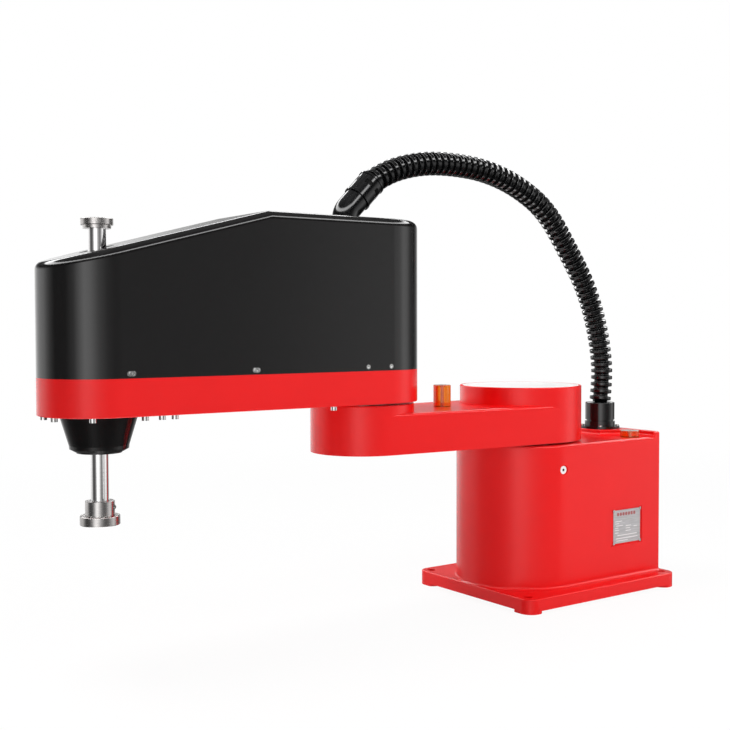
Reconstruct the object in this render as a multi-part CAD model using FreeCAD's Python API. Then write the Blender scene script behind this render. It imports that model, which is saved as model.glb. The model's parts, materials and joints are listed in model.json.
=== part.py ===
import FreeCAD, Part
import math
import os

# Four-axis SCARA robot arm: a bolted base, two swinging links that stay level, and a
# hollow tool shaft that rises, falls and turns at the end of the second link.
# Millimetres. +X points along the straight arm, +Z up. The origin is the centre of the
# four base bolt holes, on the plane of the foot pads. At rest the arm is straight.

V = FreeCAD.Vector

# Reach
arm_1_length = 350.0      # first axis to second axis
arm_2_length = 450.0      # second axis to tool shaft

# Clearances
fit_gap = 0.05            # radial, running fits
seat_gap = 0.1            # radial, spigots and screws in their holes
rim_gap = 0.3             # round a cover or panel in its recess
swing_gap = 3.5           # base deck to link 1
elbow_gap = 1.0           # second output hub to the forearm's underside

# Base
bolt_inset_x = 17.0       # base bolts, in from the plate's ends
bolt_inset_y = 21.0       # and in from its sides
bolt_hole_diameter = 14.0
plate_length = 372.0
plate_width = 300.0
plate_thickness = 20.8
plate_corner_radius = 21.0
plate_edge_radius = 1.5
foot_height = 4.7
foot_radius = 23.0
housing_radius = 115.0
housing_height = 248.0
housing_wall = 9.0
deck_thickness = 14.0
front_setback = 4.0       # housing's front, behind the plate's front edge
rear_setback = 6.6        # housing's rear face, ahead of the plate's rear edge
rear_corner_radius = 5.0
deck_edge_radius = 4.0
root_radius = 4.5         # housing to plate
plateau_height = 10.0     # raised rear of the deck, under the hose gland
plateau_depth = 17.0      # at the housing's sides
plateau_nose = 78.0       # at the gland
plateau_edge_radius = 1.5
plateau_root_radius = 6.0
bottom_cover_thickness = 3.0
bottom_cover_lap = 8.0
bottom_screw_gap = 8.0    # cover's screws, clear of the foot pads
ledge_thickness = 6.0

bolt_pitch_x = plate_length - 2 * bolt_inset_x
bolt_pitch_y = plate_width - 2 * bolt_inset_y
j1_offset = plate_length / 2 - front_setback - housing_radius
j1_x = j1_offset          # axes, ahead of the bolt pattern's centre
j2_x = j1_x + arm_1_length
j3_x = j2_x + arm_2_length
plate_top = foot_height + plate_thickness
deck_z = plate_top + housing_height
plateau_z = deck_z + plateau_height
rear_x = rear_setback - plate_length / 2
ledge_top = foot_height + bottom_cover_thickness + ledge_thickness

# Rear panel and what is on it
panel_width = 190.0
panel_height = 204.0
panel_thickness = 3.0
panel_bottom_gap = 18.0   # above the base plate
panel_lap = 7.0
power_connector_radius = 16.0
encoder_connector_radius = 13.0
connector_length = 17.0
signal_width = 56.0
signal_height = 16.0
air_fitting_radius = 7.0
air_tube_radius = 4.0
air_fitting_pitch = 30.0
air_fitting_count = 4

# Nameplate, side plug and stop bumpers
nameplate_length = 71.0
nameplate_height = 60.0
nameplate_thickness = 1.0
nameplate_recess_depth = 3.0
nameplate_recess_length = 82.0
nameplate_recess_height = 66.0
nameplate_centre_back = 91.4      # recess's middle, from the housing's rear face
nameplate_shift = 3.4             # plate's middle, behind the recess's
nameplate_corner = 4.0            # cut off each corner, for the pins
pin_inset = 0.8                   # pins, in from where the corners would be
pin_radius = 1.1
pin_head_radius = 2.6
pin_head = 0.8
nameplate_centre_z = 116.0
plug_radius = 7.0
plug_bore_radius = 2.6
plug_length = 4.0
plug_sink = 1.4                   # plug's face, below the housing's side
plug_recess_radius = 8.8
plug_recess_depth = 2.4
plug_z = 230.3
plug_ahead = 4.5
bumper_radius = 17.5
bumper_height = 12.0
bumper_back = 50.8        # from the housing's rear face
bumper_side = 85.5

# First axis drive
j1_motor_side = 86.0
j1_motor_length = 112.0
j1_encoder_length = 34.0
j1_bore_radius = 62.0
j1_reducer_flange_radius = 78.0
j1_reducer_flange = 12.0
j1_reducer_length = 33.0
j1_hub_radius = 46.0
j1_hub_length = 27.0
j1_spigot_radius = 28.0
j1_spigot_height = 10.0
j1_hub_hollow_radius = 22.0
j1_hub_screw_circle = 37.0
hub_screw_count = 8

# Link 1
link_root_radius = 108.8
link_tip_radius = 84.7
link_thickness = 64.7
link_edge_radius = 5.0
j1_boss_height = 31.5
j2_boss_height = 13.8
link_wall = 9.0
link_roof = 8.0
link_floor = 14.0
rib_side = 30.0                   # ribs under the link's roof, from its middle
rib_width = 6.0
cap_radius = 104.0
cap_thickness = 3.0
cap_skirt = 9.0
cap_skirt_wall = 2.5
link_cover_thickness = 3.0
link_cover_inset = 14.0
j2_stop_radius = 15.0
j2_stop_height = 37.2
j2_stop_back = 167.5      # behind the second axis

link_bottom = deck_z + swing_gap
arm_top = link_bottom + link_thickness
j1_boss_top = arm_top + j1_boss_height
j2_boss_top = arm_top + j2_boss_height

# Second axis drive
j2_bore_radius = 50.0
j2_reducer_flange_radius = 64.0
j2_reducer_flange = 10.0
j2_hub_radius = 38.0
j2_hub_flange_radius = 46.0
j2_hub_flange = 2.2
j2_hub_engagement = 11.0
j2_spigot_radius = 24.0
j2_spigot_height = 9.0
j2_hub_hollow_radius = 18.0
j2_hub_screw_circle = 31.0
j2_motor_side = 60.0
j2_motor_length = 96.0
j2_encoder_length = 30.0

# Forearm casting and cover
forearm_root_radius = 89.7
forearm_tip_radius = 84.0
casting_height = 52.3
casting_wall = 7.0
casting_floor = 12.0
casting_edge_radius = 1.5
lip_height = 16.0
lip_wall = 5.0
cover_height = 237.0
cover_wall = 3.0
cover_slope_angle = 14.5
cover_slope_start = 230.0         # behind the tool shaft
cover_edge_radius = 12.0
shaft_hole_radius = 24.5
elbow_hole_radius = 15.0

forearm_bottom = j2_boss_top + j2_hub_flange + elbow_gap
floor_top = forearm_bottom + casting_floor
casting_top = forearm_bottom + casting_height
cover_top = casting_top + cover_height

# Cover screws and the bolts under the casting's rim
cover_screw_rise = 6.5
cover_screw_size = 4.6
slot_screw_backs = (13.1, 203.8)
round_screw_backs = (398.9, 442.4)
slot_length = 14.0
slot_width = 8.0
slot_depth = 1.2
slot_washer_gap = 0.6             # washer to the wall of its slot
slot_washer_thickness = 0.9
rim_bolt_size = 6.0
rim_bolt_inset = 9.5
rim_bolt_length = 18.0
rim_bolt_backs = (36.0, 61.0, 80.0, 342.0)
rim_bolt_nose_angles = (16.0, 62.0)

# Tool shaft and its nuts
shaft_radius = 12.5
shaft_bore_radius = 7.0
flange_gap = 2.9                  # tool flange's clamp to the skirt, at the top of the stroke
shaft_spare = 51.9                # shaft left above the ball nut at the bottom of the stroke
groove_radius = 1.0
groove_count = 3
shaft_plain_end = 40.0
flange_radius = 27.8
flange_thickness = 12.7
clamp_radius = 20.5
clamp_height = 20.5
clamp_slot = 3.0
clamp_ear = 5.0
tool_hole_radius = 2.6
tool_hole_circle = 20.0
tool_hole_count = 4
collar_radius = 22.5
collar_thickness = 9.3
collar_step_radius = 19.5
collar_step = 4.5
collar_below_top = 0.6
stroke_up = 65.0
stroke_down = 115.0

spline_housing_radius = 34.0
spline_housing_flange_radius = 46.0
spline_housing_flange = 8.0
spline_housing_drop = 43.0        # below the forearm's underside
spline_nut_radius = 24.0
ball_nut_radius = 24.0
ball_nut_flange_radius = 29.0
ball_nut_flange = 7.0
ball_nut_rise = 15.0              # above its bracket
nut_overhang = 3.0                # nuts past their pulleys

# Belts and pulleys
pulley_width = 16.0
pulley_flange = 1.2
pulley_flange_rise = 1.8
belt_thickness = 1.8
belt_gap = 0.3
belt_side_gap = 0.7
tooth_pitch = 5.0
tooth_radius = 0.8
spline_pulley_radius = 38.0
ball_pulley_radius = 31.0
motor_pulley_radius = 16.0
motor_shaft_radius = 5.5
motor_shaft_socket = 10.0         # pulley's shaft, inside its motor
pulley_stand_off = 10.0           # spline pulley above the casting's floor
stage_gap = 10.0                  # spline pulley to the ball nut's pulley
drive_motor_side = 60.0
j3_motor_length = 92.0
j4_motor_length = 72.0
drive_encoder_length = 26.0
j3_motor_back = 108.0
j4_motor_back = 205.0

# Brackets over the casting's floor
bracket_thickness = 9.0
post_radius = 7.0
bracket_inset = 12.0
j3_bracket_back = 146.0
j3_bracket_ahead = 44.0
j3_post_back = 62.0
j3_post_ahead = 20.0
j3_post_side = 60.0
j4_bracket_half = 48.0
j4_post_offset = 38.0

# Cone skirt round the spline nut
skirt_top_radius = 54.5
skirt_low_radius = 41.5
skirt_height = 51.7
skirt_wall = 3.0
skirt_ear = 4.0                   # screw ears inside the skirt's rim
skirt_lip_radius = 5.0
skirt_ring_radius = 31.5
skirt_ring_height = 1.9
skirt_hole_radius = 19.0

# Hose, its gland on the base and its elbow on the forearm
hose_diameter = 40.0
gland_back = 38.4         # from the housing's rear face
gland_flange_radius = 37.0
gland_flange = 4.5
gland_ring_radius = 28.3
gland_ring_height = 9.0
gland_neck_radius = 25.0
gland_neck_height = 3.0
gland_body_radius = 27.5
gland_body_height = 33.0
gland_thread_radius = 20.0
gland_nut_radius = 29.0
gland_nut_height = 8.0
gland_screw_circle = 32.6
elbow_ahead = 33.0                # elbow's foot, ahead of the second axis
elbow_pipe_radius = 21.0
elbow_pipe_wall = 3.0
elbow_foot_radius = 23.5
elbow_foot_height = 3.0
elbow_rise = 13.3
elbow_angle = 45.0
elbow_bend_radius = 26.0
elbow_straight = 22.0
elbow_nut_radius = 23.5
elbow_nut_length = 42.0
elbow_ridge = 3.0

# Fasteners
small_screw = 4.0
frame_screw = 6.0
small_clear = small_screw / 2 + seat_gap
frame_clear = frame_screw / 2 + seat_gap
hex_share = 0.5           # hexagon socket's corner radius, of the thread's diameter

spline_pulley_z = floor_top + pulley_stand_off
ball_pulley_z = spline_pulley_z + pulley_width + stage_gap
j3_bracket_z = ball_pulley_z + pulley_width + 3.0
j4_bracket_z = spline_pulley_z + pulley_width + 3.0
skirt_bottom = forearm_bottom - skirt_height - skirt_ring_height
shaft_bottom = skirt_bottom - stroke_up - flange_gap - clamp_height - flange_thickness
ball_nut_top = j3_bracket_z + bracket_thickness + ball_nut_rise
shaft_top = ball_nut_top + stroke_down + shaft_spare + collar_step + collar_thickness + collar_below_top
shaft_length = shaft_top - shaft_bottom
gland_x = rear_x + gland_back
elbow_x = j2_x + elbow_ahead
gland_top = plateau_z + gland_flange + gland_ring_height + gland_neck_height
gland_top = gland_top + gland_body_height


# Helpers

def cylinder(x, y, z, radius, height):
    return Part.makeCylinder(radius, height, V(x, y, z))


def ring(x, y, z, outer, inner, height):
    return cylinder(x, y, z, outer, height).cut(cylinder(x, y, z - 1, inner, height + 2))


def box(x0, x1, y0, y1, z0, z1):
    return Part.makeBox(x1 - x0, y1 - y0, z1 - z0, V(x0, y0, z0))


def bar(start, end, radius):
    way = end.sub(start)
    return Part.makeCylinder(radius, way.Length, start, way)


def round_edges(shape, radius, wanted):
    edges = [edge for edge in shape.Edges if wanted(edge)]
    return shape.makeFillet(radius, edges)


def at_height(z):
    return lambda edge: all(abs(vertex.Z - z) < 0.01 for vertex in edge.Vertexes)


def upright(edge):
    low, high = edge.BoundBox.ZMin, edge.BoundBox.ZMax
    return high - low > 1.0 and edge.BoundBox.XLength < 0.01 and edge.BoundBox.YLength < 0.01


def rounded_plate(length, width, corner, z, height):
    half_x, half_y = length / 2, width / 2
    return round_edges(box(-half_x, half_x, -half_y, half_y, z, z + height), corner, upright)


def two_circle_prism(xa, ra, xb, rb, z, height):
    """An upright prism whose outline wraps two circles on the X axis."""
    angle = math.acos((ra - rb) / (xb - xa))
    ca, sa = math.cos(angle), math.sin(angle)
    a_left, a_right = V(xa + ra * ca, ra * sa, z), V(xa + ra * ca, -ra * sa, z)
    b_left, b_right = V(xb + rb * ca, rb * sa, z), V(xb + rb * ca, -rb * sa, z)
    edges = [
        Part.LineSegment(a_left, b_left).toShape(),
        Part.Arc(b_left, V(xb + rb, 0, z), b_right).toShape(),
        Part.LineSegment(b_right, a_right).toShape(),
        Part.Arc(a_right, V(xa - ra, 0, z), a_left).toShape(),
    ]
    return Part.Face(Part.Wire(edges)).extrude(V(0, 0, height))


def spun(points, x):
    """A solid of revolution about the upright line at x; points are (radius, z)."""
    line = Part.makePolygon([V(x + r, 0, z) for r, z in points] + [V(x + points[0][0], 0, points[0][1])])
    return Part.Face(line).revolve(V(x, 0, 0), V(0, 0, 1), 360)


def aimed(shape, x, y, z, way):
    """Turn a shape built along +Z to point along way, and move it to x, y, z."""
    turned = shape.copy()
    turned.Placement = FreeCAD.Placement(V(x, y, z), FreeCAD.Rotation(V(0, 0, 1), way))
    return turned


def socket_screw(size, length):
    """A cap screw: its head stands on z = 0, its shank hangs below."""
    head = Part.makeCylinder(0.8 * size, size)
    corners = [V(hex_share * size, 0, size / 2)]
    for step in range(1, 7):
        turn = math.radians(60 * step)
        corners.append(V(hex_share * size * math.cos(turn), hex_share * size * math.sin(turn), size / 2))
    socket = Part.Face(Part.makePolygon(corners)).extrude(V(0, 0, size))
    shank = Part.makeCylinder(size / 2, length, V(0, 0, -length))
    return head.fuse(shank).cut(socket)


def screw_hole(size, length):
    return Part.makeCylinder(size / 2 + seat_gap, length + 1, V(0, 0, -length - 1 + 0.5))


def circle_places(x, y, radius, count, first=0.0):
    places = []
    for step in range(count):
        turn = math.radians(first + 360.0 * step / count)
        places.append((x + radius * math.cos(turn), y + radius * math.sin(turn)))
    return places


def corner_places(x, y, half_x, half_y):
    return [(x + sx * half_x, y + sy * half_y) for sx in (-1, 1) for sy in (-1, 1)]


def toothed_pulley(x, z, radius, bore):
    """A timing-belt pulley with a flange at each end."""
    rim = cylinder(x, 0, z, radius, pulley_width)
    count = int(2 * math.pi * radius / tooth_pitch)
    grooves = [cylinder(gx, gy, z, tooth_radius, pulley_width)
               for gx, gy in circle_places(x, 0, radius, count)]
    rim = rim.cut(Part.makeCompound(grooves))
    for flange_z in (z, z + pulley_width - pulley_flange):
        rim = rim.fuse(cylinder(x, 0, flange_z, radius + pulley_flange_rise, pulley_flange))
    if bore > 0:
        rim = rim.cut(cylinder(x, 0, z - 1, bore, pulley_width + 2))
    return rim


def timing_belt(xa, ra, xb, rb, z):
    """A closed belt round two pulleys, between their flanges."""
    low = z + pulley_flange + belt_side_gap
    height = pulley_width - 2 * (pulley_flange + belt_side_gap)
    inner_a, inner_b = ra + belt_gap, rb + belt_gap
    outside = two_circle_prism(xa, inner_a + belt_thickness, xb, inner_b + belt_thickness, low, height)
    inside = two_circle_prism(xa, inner_a, xb, inner_b, low - 1, height + 2)
    return outside.cut(inside)


def servo_motor(x, face_z, side, length, encoder_length, up):
    """A square motor with its face at face_z; it stands up from it or hangs below it."""
    flange = 0.1 * length
    half = side / 2
    waist = 0.94 * half
    body = box(x - half, x + half, -half, half, 0, flange)
    body = body.fuse(round_edges(box(x - waist, x + waist, -waist, waist, flange, length), 4, upright))
    cap = 0.82 * half
    encoder = round_edges(box(x - cap, x + cap, -cap, cap, length, length + encoder_length), 3, upright)
    body = body.fuse(encoder)
    lead = box(x - waist, x - 0.4 * half, -0.3 * half, 0.3 * half, length, length + 0.5 * encoder_length)
    body = body.fuse(lead)
    if not up:
        body = body.mirror(V(0, 0, 0), V(0, 0, 1))
    body.translate(V(0, 0, face_z))
    return body


def save(name, shape):
    shape.exportStep("parts/" + name + ".step")


# Base

def housing_prism(inset, z, height):
    radius = housing_radius - inset
    block = box(rear_x + inset, j1_x, -radius, radius, z, z + height)
    rear_corners = max(rear_corner_radius - inset, 1.0)
    block = round_edges(block, rear_corners, lambda edge: upright(edge) and edge.BoundBox.XMax < j1_x - 1)
    return block.fuse(cylinder(j1_x, 0, z, radius, height)).removeSplitter()


def plateau():
    """The raised rear of the deck, with a nose under the hose gland."""
    low = deck_z - 5
    shoulder = rear_x + plateau_depth
    nose = rear_x + plateau_nose
    side = housing_radius + 5
    nose_half = 0.32 * housing_radius
    shoulder_half = 0.54 * housing_radius
    corners = [
        V(rear_x - 5, -side, low), V(shoulder, -side, low), V(shoulder, -shoulder_half, low),
        V(nose, -nose_half, low), V(nose, nose_half, low), V(shoulder, shoulder_half, low),
        V(shoulder, side, low), V(rear_x - 5, side, low), V(rear_x - 5, -side, low),
    ]
    block = Part.Face(Part.makePolygon(corners)).extrude(V(0, 0, plateau_z - low))
    return block.common(housing_prism(0, low, plateau_z - low))


def panel_centre_z():
    return plate_top + panel_bottom_gap + panel_height / 2


def base_casting():
    plate = rounded_plate(plate_length, plate_width, plate_corner_radius, foot_height, plate_thickness)
    plate = round_edges(plate, plate_edge_radius, at_height(plate_top))
    housing = housing_prism(0, foot_height, deck_z - foot_height).fuse(plateau()).removeSplitter()
    housing = round_edges(housing, plateau_root_radius, at_plateau_root)
    housing = round_edges(housing, deck_edge_radius, on_housing_rim)
    body = plate.fuse(housing)
    on_housing = lambda edge: at_height(plate_top)(edge) and not near_plate_edge(edge)
    body = round_edges(body, root_radius, on_housing)
    body = round_edges(body, plateau_edge_radius, at_plateau_front)
    outline = rounded_plate(plate_length, plate_width, plate_corner_radius, 0, foot_height + 1)
    for x, y in corner_places(0, 0, bolt_pitch_x / 2, bolt_pitch_y / 2):
        body = body.fuse(cylinder(x, y, 0, foot_radius, foot_height + 1).common(outline))
    body = body.cut(housing_prism(housing_wall, ledge_top, deck_z - deck_thickness - ledge_top))
    body = body.cut(housing_prism(housing_wall + bottom_cover_lap, foot_height, ledge_top - foot_height))
    body = body.cut(housing_prism(housing_wall, foot_height - 1, 1 + bottom_cover_thickness))
    for x, y in bottom_cover_screw_places():
        body = body.cut(cylinder(x, y, foot_height, small_clear, ledge_top - foot_height + 1))
    for x, y in corner_places(0, 0, bolt_pitch_x / 2, bolt_pitch_y / 2):
        body = body.cut(cylinder(x, y, -1, bolt_hole_diameter / 2, plate_top + 2))
    under_deck = deck_z - deck_thickness
    body = body.cut(cylinder(j1_x, 0, under_deck - 1, j1_bore_radius + seat_gap, deck_thickness + 2))
    for x, y in circle_places(j1_x, 0, reducer_screw_circle(), hub_screw_count):
        body = body.cut(aimed(screw_hole(frame_screw, 9), x, y, under_deck, V(0, 0, -1)))
    thread_depth = plateau_z - under_deck + 2
    body = body.cut(cylinder(gland_x, 0, under_deck - 1, gland_thread_radius + seat_gap, thread_depth))
    for x, y in gland_screw_places():
        body = body.cut(aimed(screw_hole(small_screw, 8), x, y, plateau_z, V(0, 0, 1)))
    body = body.cut(panel_recess())
    body = body.cut(nameplate_recess())
    plug_y = housing_radius - plug_sink - plug_length
    plug_hole = Part.makeCylinder(plug_radius + seat_gap, plug_length)
    plug_recess = Part.makeCylinder(plug_recess_radius, plug_recess_depth + 1)
    recess_y = housing_radius - plug_recess_depth
    body = body.cut(aimed(plug_hole, j1_x + plug_ahead, plug_y, plug_z, V(0, 1, 0)))
    body = body.cut(aimed(plug_recess, j1_x + plug_ahead, recess_y, plug_z, V(0, 1, 0)))
    for side in (-1, 1):
        hole = cylinder(rear_x + bumper_back, side * bumper_side, deck_z - 9, small_clear, 10)
        body = body.cut(hole)
    return body


def near_plate_edge(edge):
    box_ = edge.BoundBox
    half_x, half_y = plate_length / 2 - plate_edge_radius, plate_width / 2 - plate_edge_radius
    at_x = box_.XMin < -half_x + 0.3 or box_.XMax > half_x - 0.3
    at_y = box_.YMin < -half_y + 0.3 or box_.YMax > half_y - 0.3
    return at_x or at_y


def at_plateau_root(edge):
    inside = edge.BoundBox.XMin > rear_x + plateau_depth - 1
    return at_height(deck_z)(edge) and inside and edge.BoundBox.XMax < rear_x + plateau_nose + 1


def at_plateau_front(edge):
    return at_height(plateau_z)(edge) and edge.BoundBox.XMin > rear_x + plateau_depth - 1


def on_housing_rim(edge):
    """The top edge along the housing's sides, round its front and across its rear."""
    middle = edge.valueAt((edge.FirstParameter + edge.LastParameter) / 2)
    if middle.z < deck_z - 0.01 or upright(edge):
        return False
    if middle.x > j1_x:
        return abs(math.hypot(middle.x - j1_x, middle.y) - housing_radius) < 0.01
    at_side = abs(abs(middle.y) - housing_radius) < 0.01
    at_rear = abs(middle.x - rear_x) < 0.01
    near_corner = middle.x < rear_x + rear_corner_radius
    at_corner = near_corner and abs(middle.y) > housing_radius - rear_corner_radius
    return at_side or at_rear or at_corner


def reducer_screw_circle():
    return (j1_bore_radius + j1_reducer_flange_radius) / 2


def bottom_cover_screw_places():
    side = housing_radius - housing_wall - bottom_cover_lap / 2
    first = foot_radius - bolt_pitch_x / 2 + bottom_screw_gap
    return [(x, s * side) for x in (first, (first + j1_x) / 2, j1_x) for s in (-1, 1)]


def base_bottom_cover():
    cover = housing_prism(housing_wall + rim_gap, foot_height, bottom_cover_thickness)
    for x, y in bottom_cover_screw_places():
        cover = cover.cut(cylinder(x, y, 0, small_clear, 20))
    return cover


def base_bottom_screws():
    size = small_screw
    screws = []
    for x, y in bottom_cover_screw_places():
        head = cylinder(x, y, foot_height - 2, 0.9 * size, 2)
        slot = box(x - 0.7 * size, x + 0.7 * size, y - 0.4, y + 0.4, foot_height - 3, foot_height - 1)
        shank = cylinder(x, y, foot_height, size / 2, bottom_cover_thickness + 7)
        screws.append(head.fuse(shank).cut(slot))
    return Part.makeCompound(screws)


# Rear panel

def panel_recess():
    z = panel_centre_z()
    half_y, half_z = panel_width / 2 + rim_gap, panel_height / 2 + rim_gap
    recess = box(rear_x - 1, rear_x + panel_thickness, -half_y, half_y, z - half_z, z + half_z)
    half_y, half_z = panel_width / 2 - panel_lap, panel_height / 2 - panel_lap
    window = box(rear_x - 1, rear_x + housing_wall + 1, -half_y, half_y, z - half_z, z + half_z)
    shape = recess.fuse(window)
    for y, pz in panel_screw_places():
        shape = shape.fuse(aimed(screw_hole(small_screw, 5), rear_x + panel_thickness, y, pz, V(-1, 0, 0)))
    return shape


def panel_screw_places():
    half_y, half_z = panel_width / 2 - panel_lap / 2, panel_height / 2 - panel_lap / 2
    z = panel_centre_z()
    return [(sy * half_y, z + level * half_z) for sy in (-1, 1) for level in (-1, 0, 1)]


def connector_places():
    z = panel_centre_z()
    upper = z + 0.27 * panel_height
    return {
        "power": (-0.26 * panel_width, upper),
        "encoder": (0.26 * panel_width, upper),
        "signal": (0, z),
        "air": z - 0.27 * panel_height,
    }


def air_fitting_places():
    start = -air_fitting_pitch * (air_fitting_count - 1) / 2
    return [start + step * air_fitting_pitch for step in range(air_fitting_count)]


def connector_panel():
    z = panel_centre_z()
    half_y, half_z = panel_width / 2, panel_height / 2
    panel = box(rear_x, rear_x + panel_thickness, -half_y, half_y, z - half_z, z + half_z)
    places = connector_places()
    for key, radius in (("power", power_connector_radius), ("encoder", encoder_connector_radius)):
        y, cz = places[key]
        hole = Part.makeCylinder(0.8 * radius + seat_gap, 9)
        panel = panel.cut(aimed(hole, rear_x + 5, y, cz, V(-1, 0, 0)))
    y, cz = places["signal"]
    half_w, half_h = 0.4 * signal_width + seat_gap, 0.4 * signal_height + seat_gap
    panel = panel.cut(box(rear_x - 1, rear_x + 5, y - half_w, y + half_w, cz - half_h, cz + half_h))
    for y in air_fitting_places():
        hole = Part.makeCylinder(0.75 * air_fitting_radius + seat_gap, 9)
        panel = panel.cut(aimed(hole, rear_x + 5, y, places["air"], V(-1, 0, 0)))
    for y, pz in panel_screw_places():
        hole = Part.makeCylinder(small_clear, 9)
        panel = panel.cut(aimed(hole, rear_x + 5, y, pz, V(-1, 0, 0)))
    return panel


def panel_screws():
    return Part.makeCompound([
        aimed(socket_screw(small_screw, panel_thickness + 4), rear_x, y, z, V(-1, 0, 0))
        for y, z in panel_screw_places()
    ])


def round_connector(radius, pins):
    """A bayonet socket built along +Z: its flange lies on z = 0."""
    barrel = Part.makeCylinder(radius, connector_length)
    barrel = barrel.cut(Part.makeCylinder(0.82 * radius, connector_length, V(0, 0, 3)))
    flange = Part.makeCylinder(1.2 * radius, 2.5)
    tail = Part.makeCylinder(0.8 * radius, panel_thickness + 8, V(0, 0, -panel_thickness - 8))
    body = barrel.fuse(flange).fuse(tail)
    insert = Part.makeCylinder(0.66 * radius, connector_length - 6, V(0, 0, 2))
    body = body.fuse(insert)
    for x, y in circle_places(0, 0, 0.4 * radius, pins):
        body = body.cut(cylinder(x, y, connector_length - 9, 0.09 * radius, 9))
    return body


def power_connector():
    y, z = connector_places()["power"]
    return aimed(round_connector(power_connector_radius, 6), rear_x, y, z, V(-1, 0, 0))


def encoder_connector():
    y, z = connector_places()["encoder"]
    return aimed(round_connector(encoder_connector_radius, 8), rear_x, y, z, V(-1, 0, 0))


def signal_connector():
    y, z = connector_places()["signal"]

    def slab(back, front, share_w, share_h):
        half_w, half_h = share_w * signal_width / 2, share_h * signal_height / 2
        return box(rear_x - back, rear_x - front, y - half_w, y + half_w, z - half_h, z + half_h)

    flange = slab(2, 0, 1, 1)
    shell = slab(9, 2, 0.7, 0.62).cut(slab(10, 4, 0.66, 0.5))
    tail = slab(0, -panel_thickness - 7, 0.8, 0.8)
    return flange.fuse(shell).fuse(tail)


def air_fittings():
    z = connector_places()["air"]
    radius = air_fitting_radius
    tail = panel_thickness + 8
    fitting = Part.makeCylinder(radius, 9).fuse(Part.makeCylinder(0.8 * radius, 14))
    fitting = fitting.fuse(Part.makeCylinder(0.75 * radius, tail, V(0, 0, -tail)))
    fitting = fitting.cut(Part.makeCylinder(air_tube_radius, 10, V(0, 0, 6)))
    return Part.makeCompound([aimed(fitting, rear_x, y, z, V(-1, 0, 0)) for y in air_fitting_places()])


# Small pieces on the base

def nameplate_recess():
    x = rear_x + nameplate_centre_back
    half_x, half_z = nameplate_recess_length / 2, nameplate_recess_height / 2
    return box(x - half_x, x + half_x, housing_radius - nameplate_recess_depth, housing_radius + 1,
               nameplate_centre_z - half_z, nameplate_centre_z + half_z)


def nameplate():
    x = rear_x + nameplate_centre_back - nameplate_shift
    half_x, half_z = nameplate_length / 2, nameplate_height / 2
    y = housing_radius - nameplate_recess_depth
    plate = box(x - half_x, x + half_x, y, y + nameplate_thickness, nameplate_centre_z - half_z,
                nameplate_centre_z + half_z)
    cut_corners = [edge for edge in plate.Edges if edge.BoundBox.YLength > 0.9 * nameplate_thickness]
    return plate.makeChamfer(nameplate_corner, cut_corners)


def nameplate_pin_places():
    x = rear_x + nameplate_centre_back - nameplate_shift
    half_x, half_z = nameplate_length / 2 - pin_inset, nameplate_height / 2 - pin_inset
    return corner_places(x, nameplate_centre_z, half_x, half_z)


def nameplate_pins():
    """Drive pins at the plate's cut corners; their heads lap over its edges."""
    y = housing_radius - nameplate_recess_depth
    pin = Part.makeCylinder(pin_radius, nameplate_thickness).fuse(
        Part.makeCylinder(pin_head_radius, pin_head, V(0, 0, nameplate_thickness)))
    return Part.makeCompound([aimed(pin, x, y, z, V(0, 1, 0)) for x, z in nameplate_pin_places()])


def side_plug():
    plug = Part.makeCylinder(plug_radius, plug_length)
    plug = plug.cut(Part.makeCylinder(plug_bore_radius, plug_length, V(0, 0, plug_length / 2)))
    plug_y = housing_radius - plug_sink - plug_length
    return aimed(plug, j1_x + plug_ahead, plug_y, plug_z, V(0, 1, 0))


def bumper(x, y, z, radius, height):
    """A soft stop: a waisted post with a recessed screw."""
    body = cylinder(x, y, z, radius, height)
    body = round_edges(body, 1.0, at_height(z + height))
    return body.cut(cylinder(x, y, z - 1, small_clear, height + 2)).cut(
        cylinder(x, y, z + height - small_screw, 0.8 * small_screw + seat_gap, small_screw + 1))


def j1_stop_bumpers():
    x = rear_x + bumper_back
    return Part.makeCompound([bumper(x, side * bumper_side, deck_z, bumper_radius, bumper_height)
                              for side in (-1, 1)])


def bumper_screws():
    x = rear_x + bumper_back
    seat = deck_z + bumper_height - small_screw
    screw = socket_screw(small_screw, bumper_height - small_screw + 8)
    return Part.makeCompound([aimed(screw, x, side * bumper_side, seat, V(0, 0, 1)) for side in (-1, 1)])


# First axis drive

def j1_reducer():
    flange_z = deck_z - deck_thickness - j1_reducer_flange
    bottom = deck_z - 1 - j1_reducer_length
    body = cylinder(j1_x, 0, bottom, j1_bore_radius, j1_reducer_length)
    body = body.fuse(cylinder(j1_x, 0, flange_z, j1_reducer_flange_radius, j1_reducer_flange))
    body = body.cut(cylinder(j1_x, 0, bottom + 6, j1_hub_radius + fit_gap, j1_reducer_length))
    body = body.cut(cylinder(j1_x, 0, bottom - 1, j1_hub_hollow_radius, 20))
    for x, y in circle_places(j1_x, 0, reducer_screw_circle(), hub_screw_count):
        body = body.cut(cylinder(x, y, flange_z - 1, frame_clear, j1_reducer_flange + 2))
    return body


def j1_reducer_screws():
    flange_z = deck_z - deck_thickness - j1_reducer_flange
    screw = socket_screw(frame_screw, j1_reducer_flange + 8)
    return Part.makeCompound([aimed(screw, x, y, flange_z, V(0, 0, -1))
                              for x, y in circle_places(j1_x, 0, reducer_screw_circle(), hub_screw_count)])


def j1_motor():
    face = deck_z - 1 - j1_reducer_length
    motor = servo_motor(j1_x, face, j1_motor_side, j1_motor_length, j1_encoder_length, False)
    return motor.fuse(cylinder(j1_x, 0, face, 9.5, 12))


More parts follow.
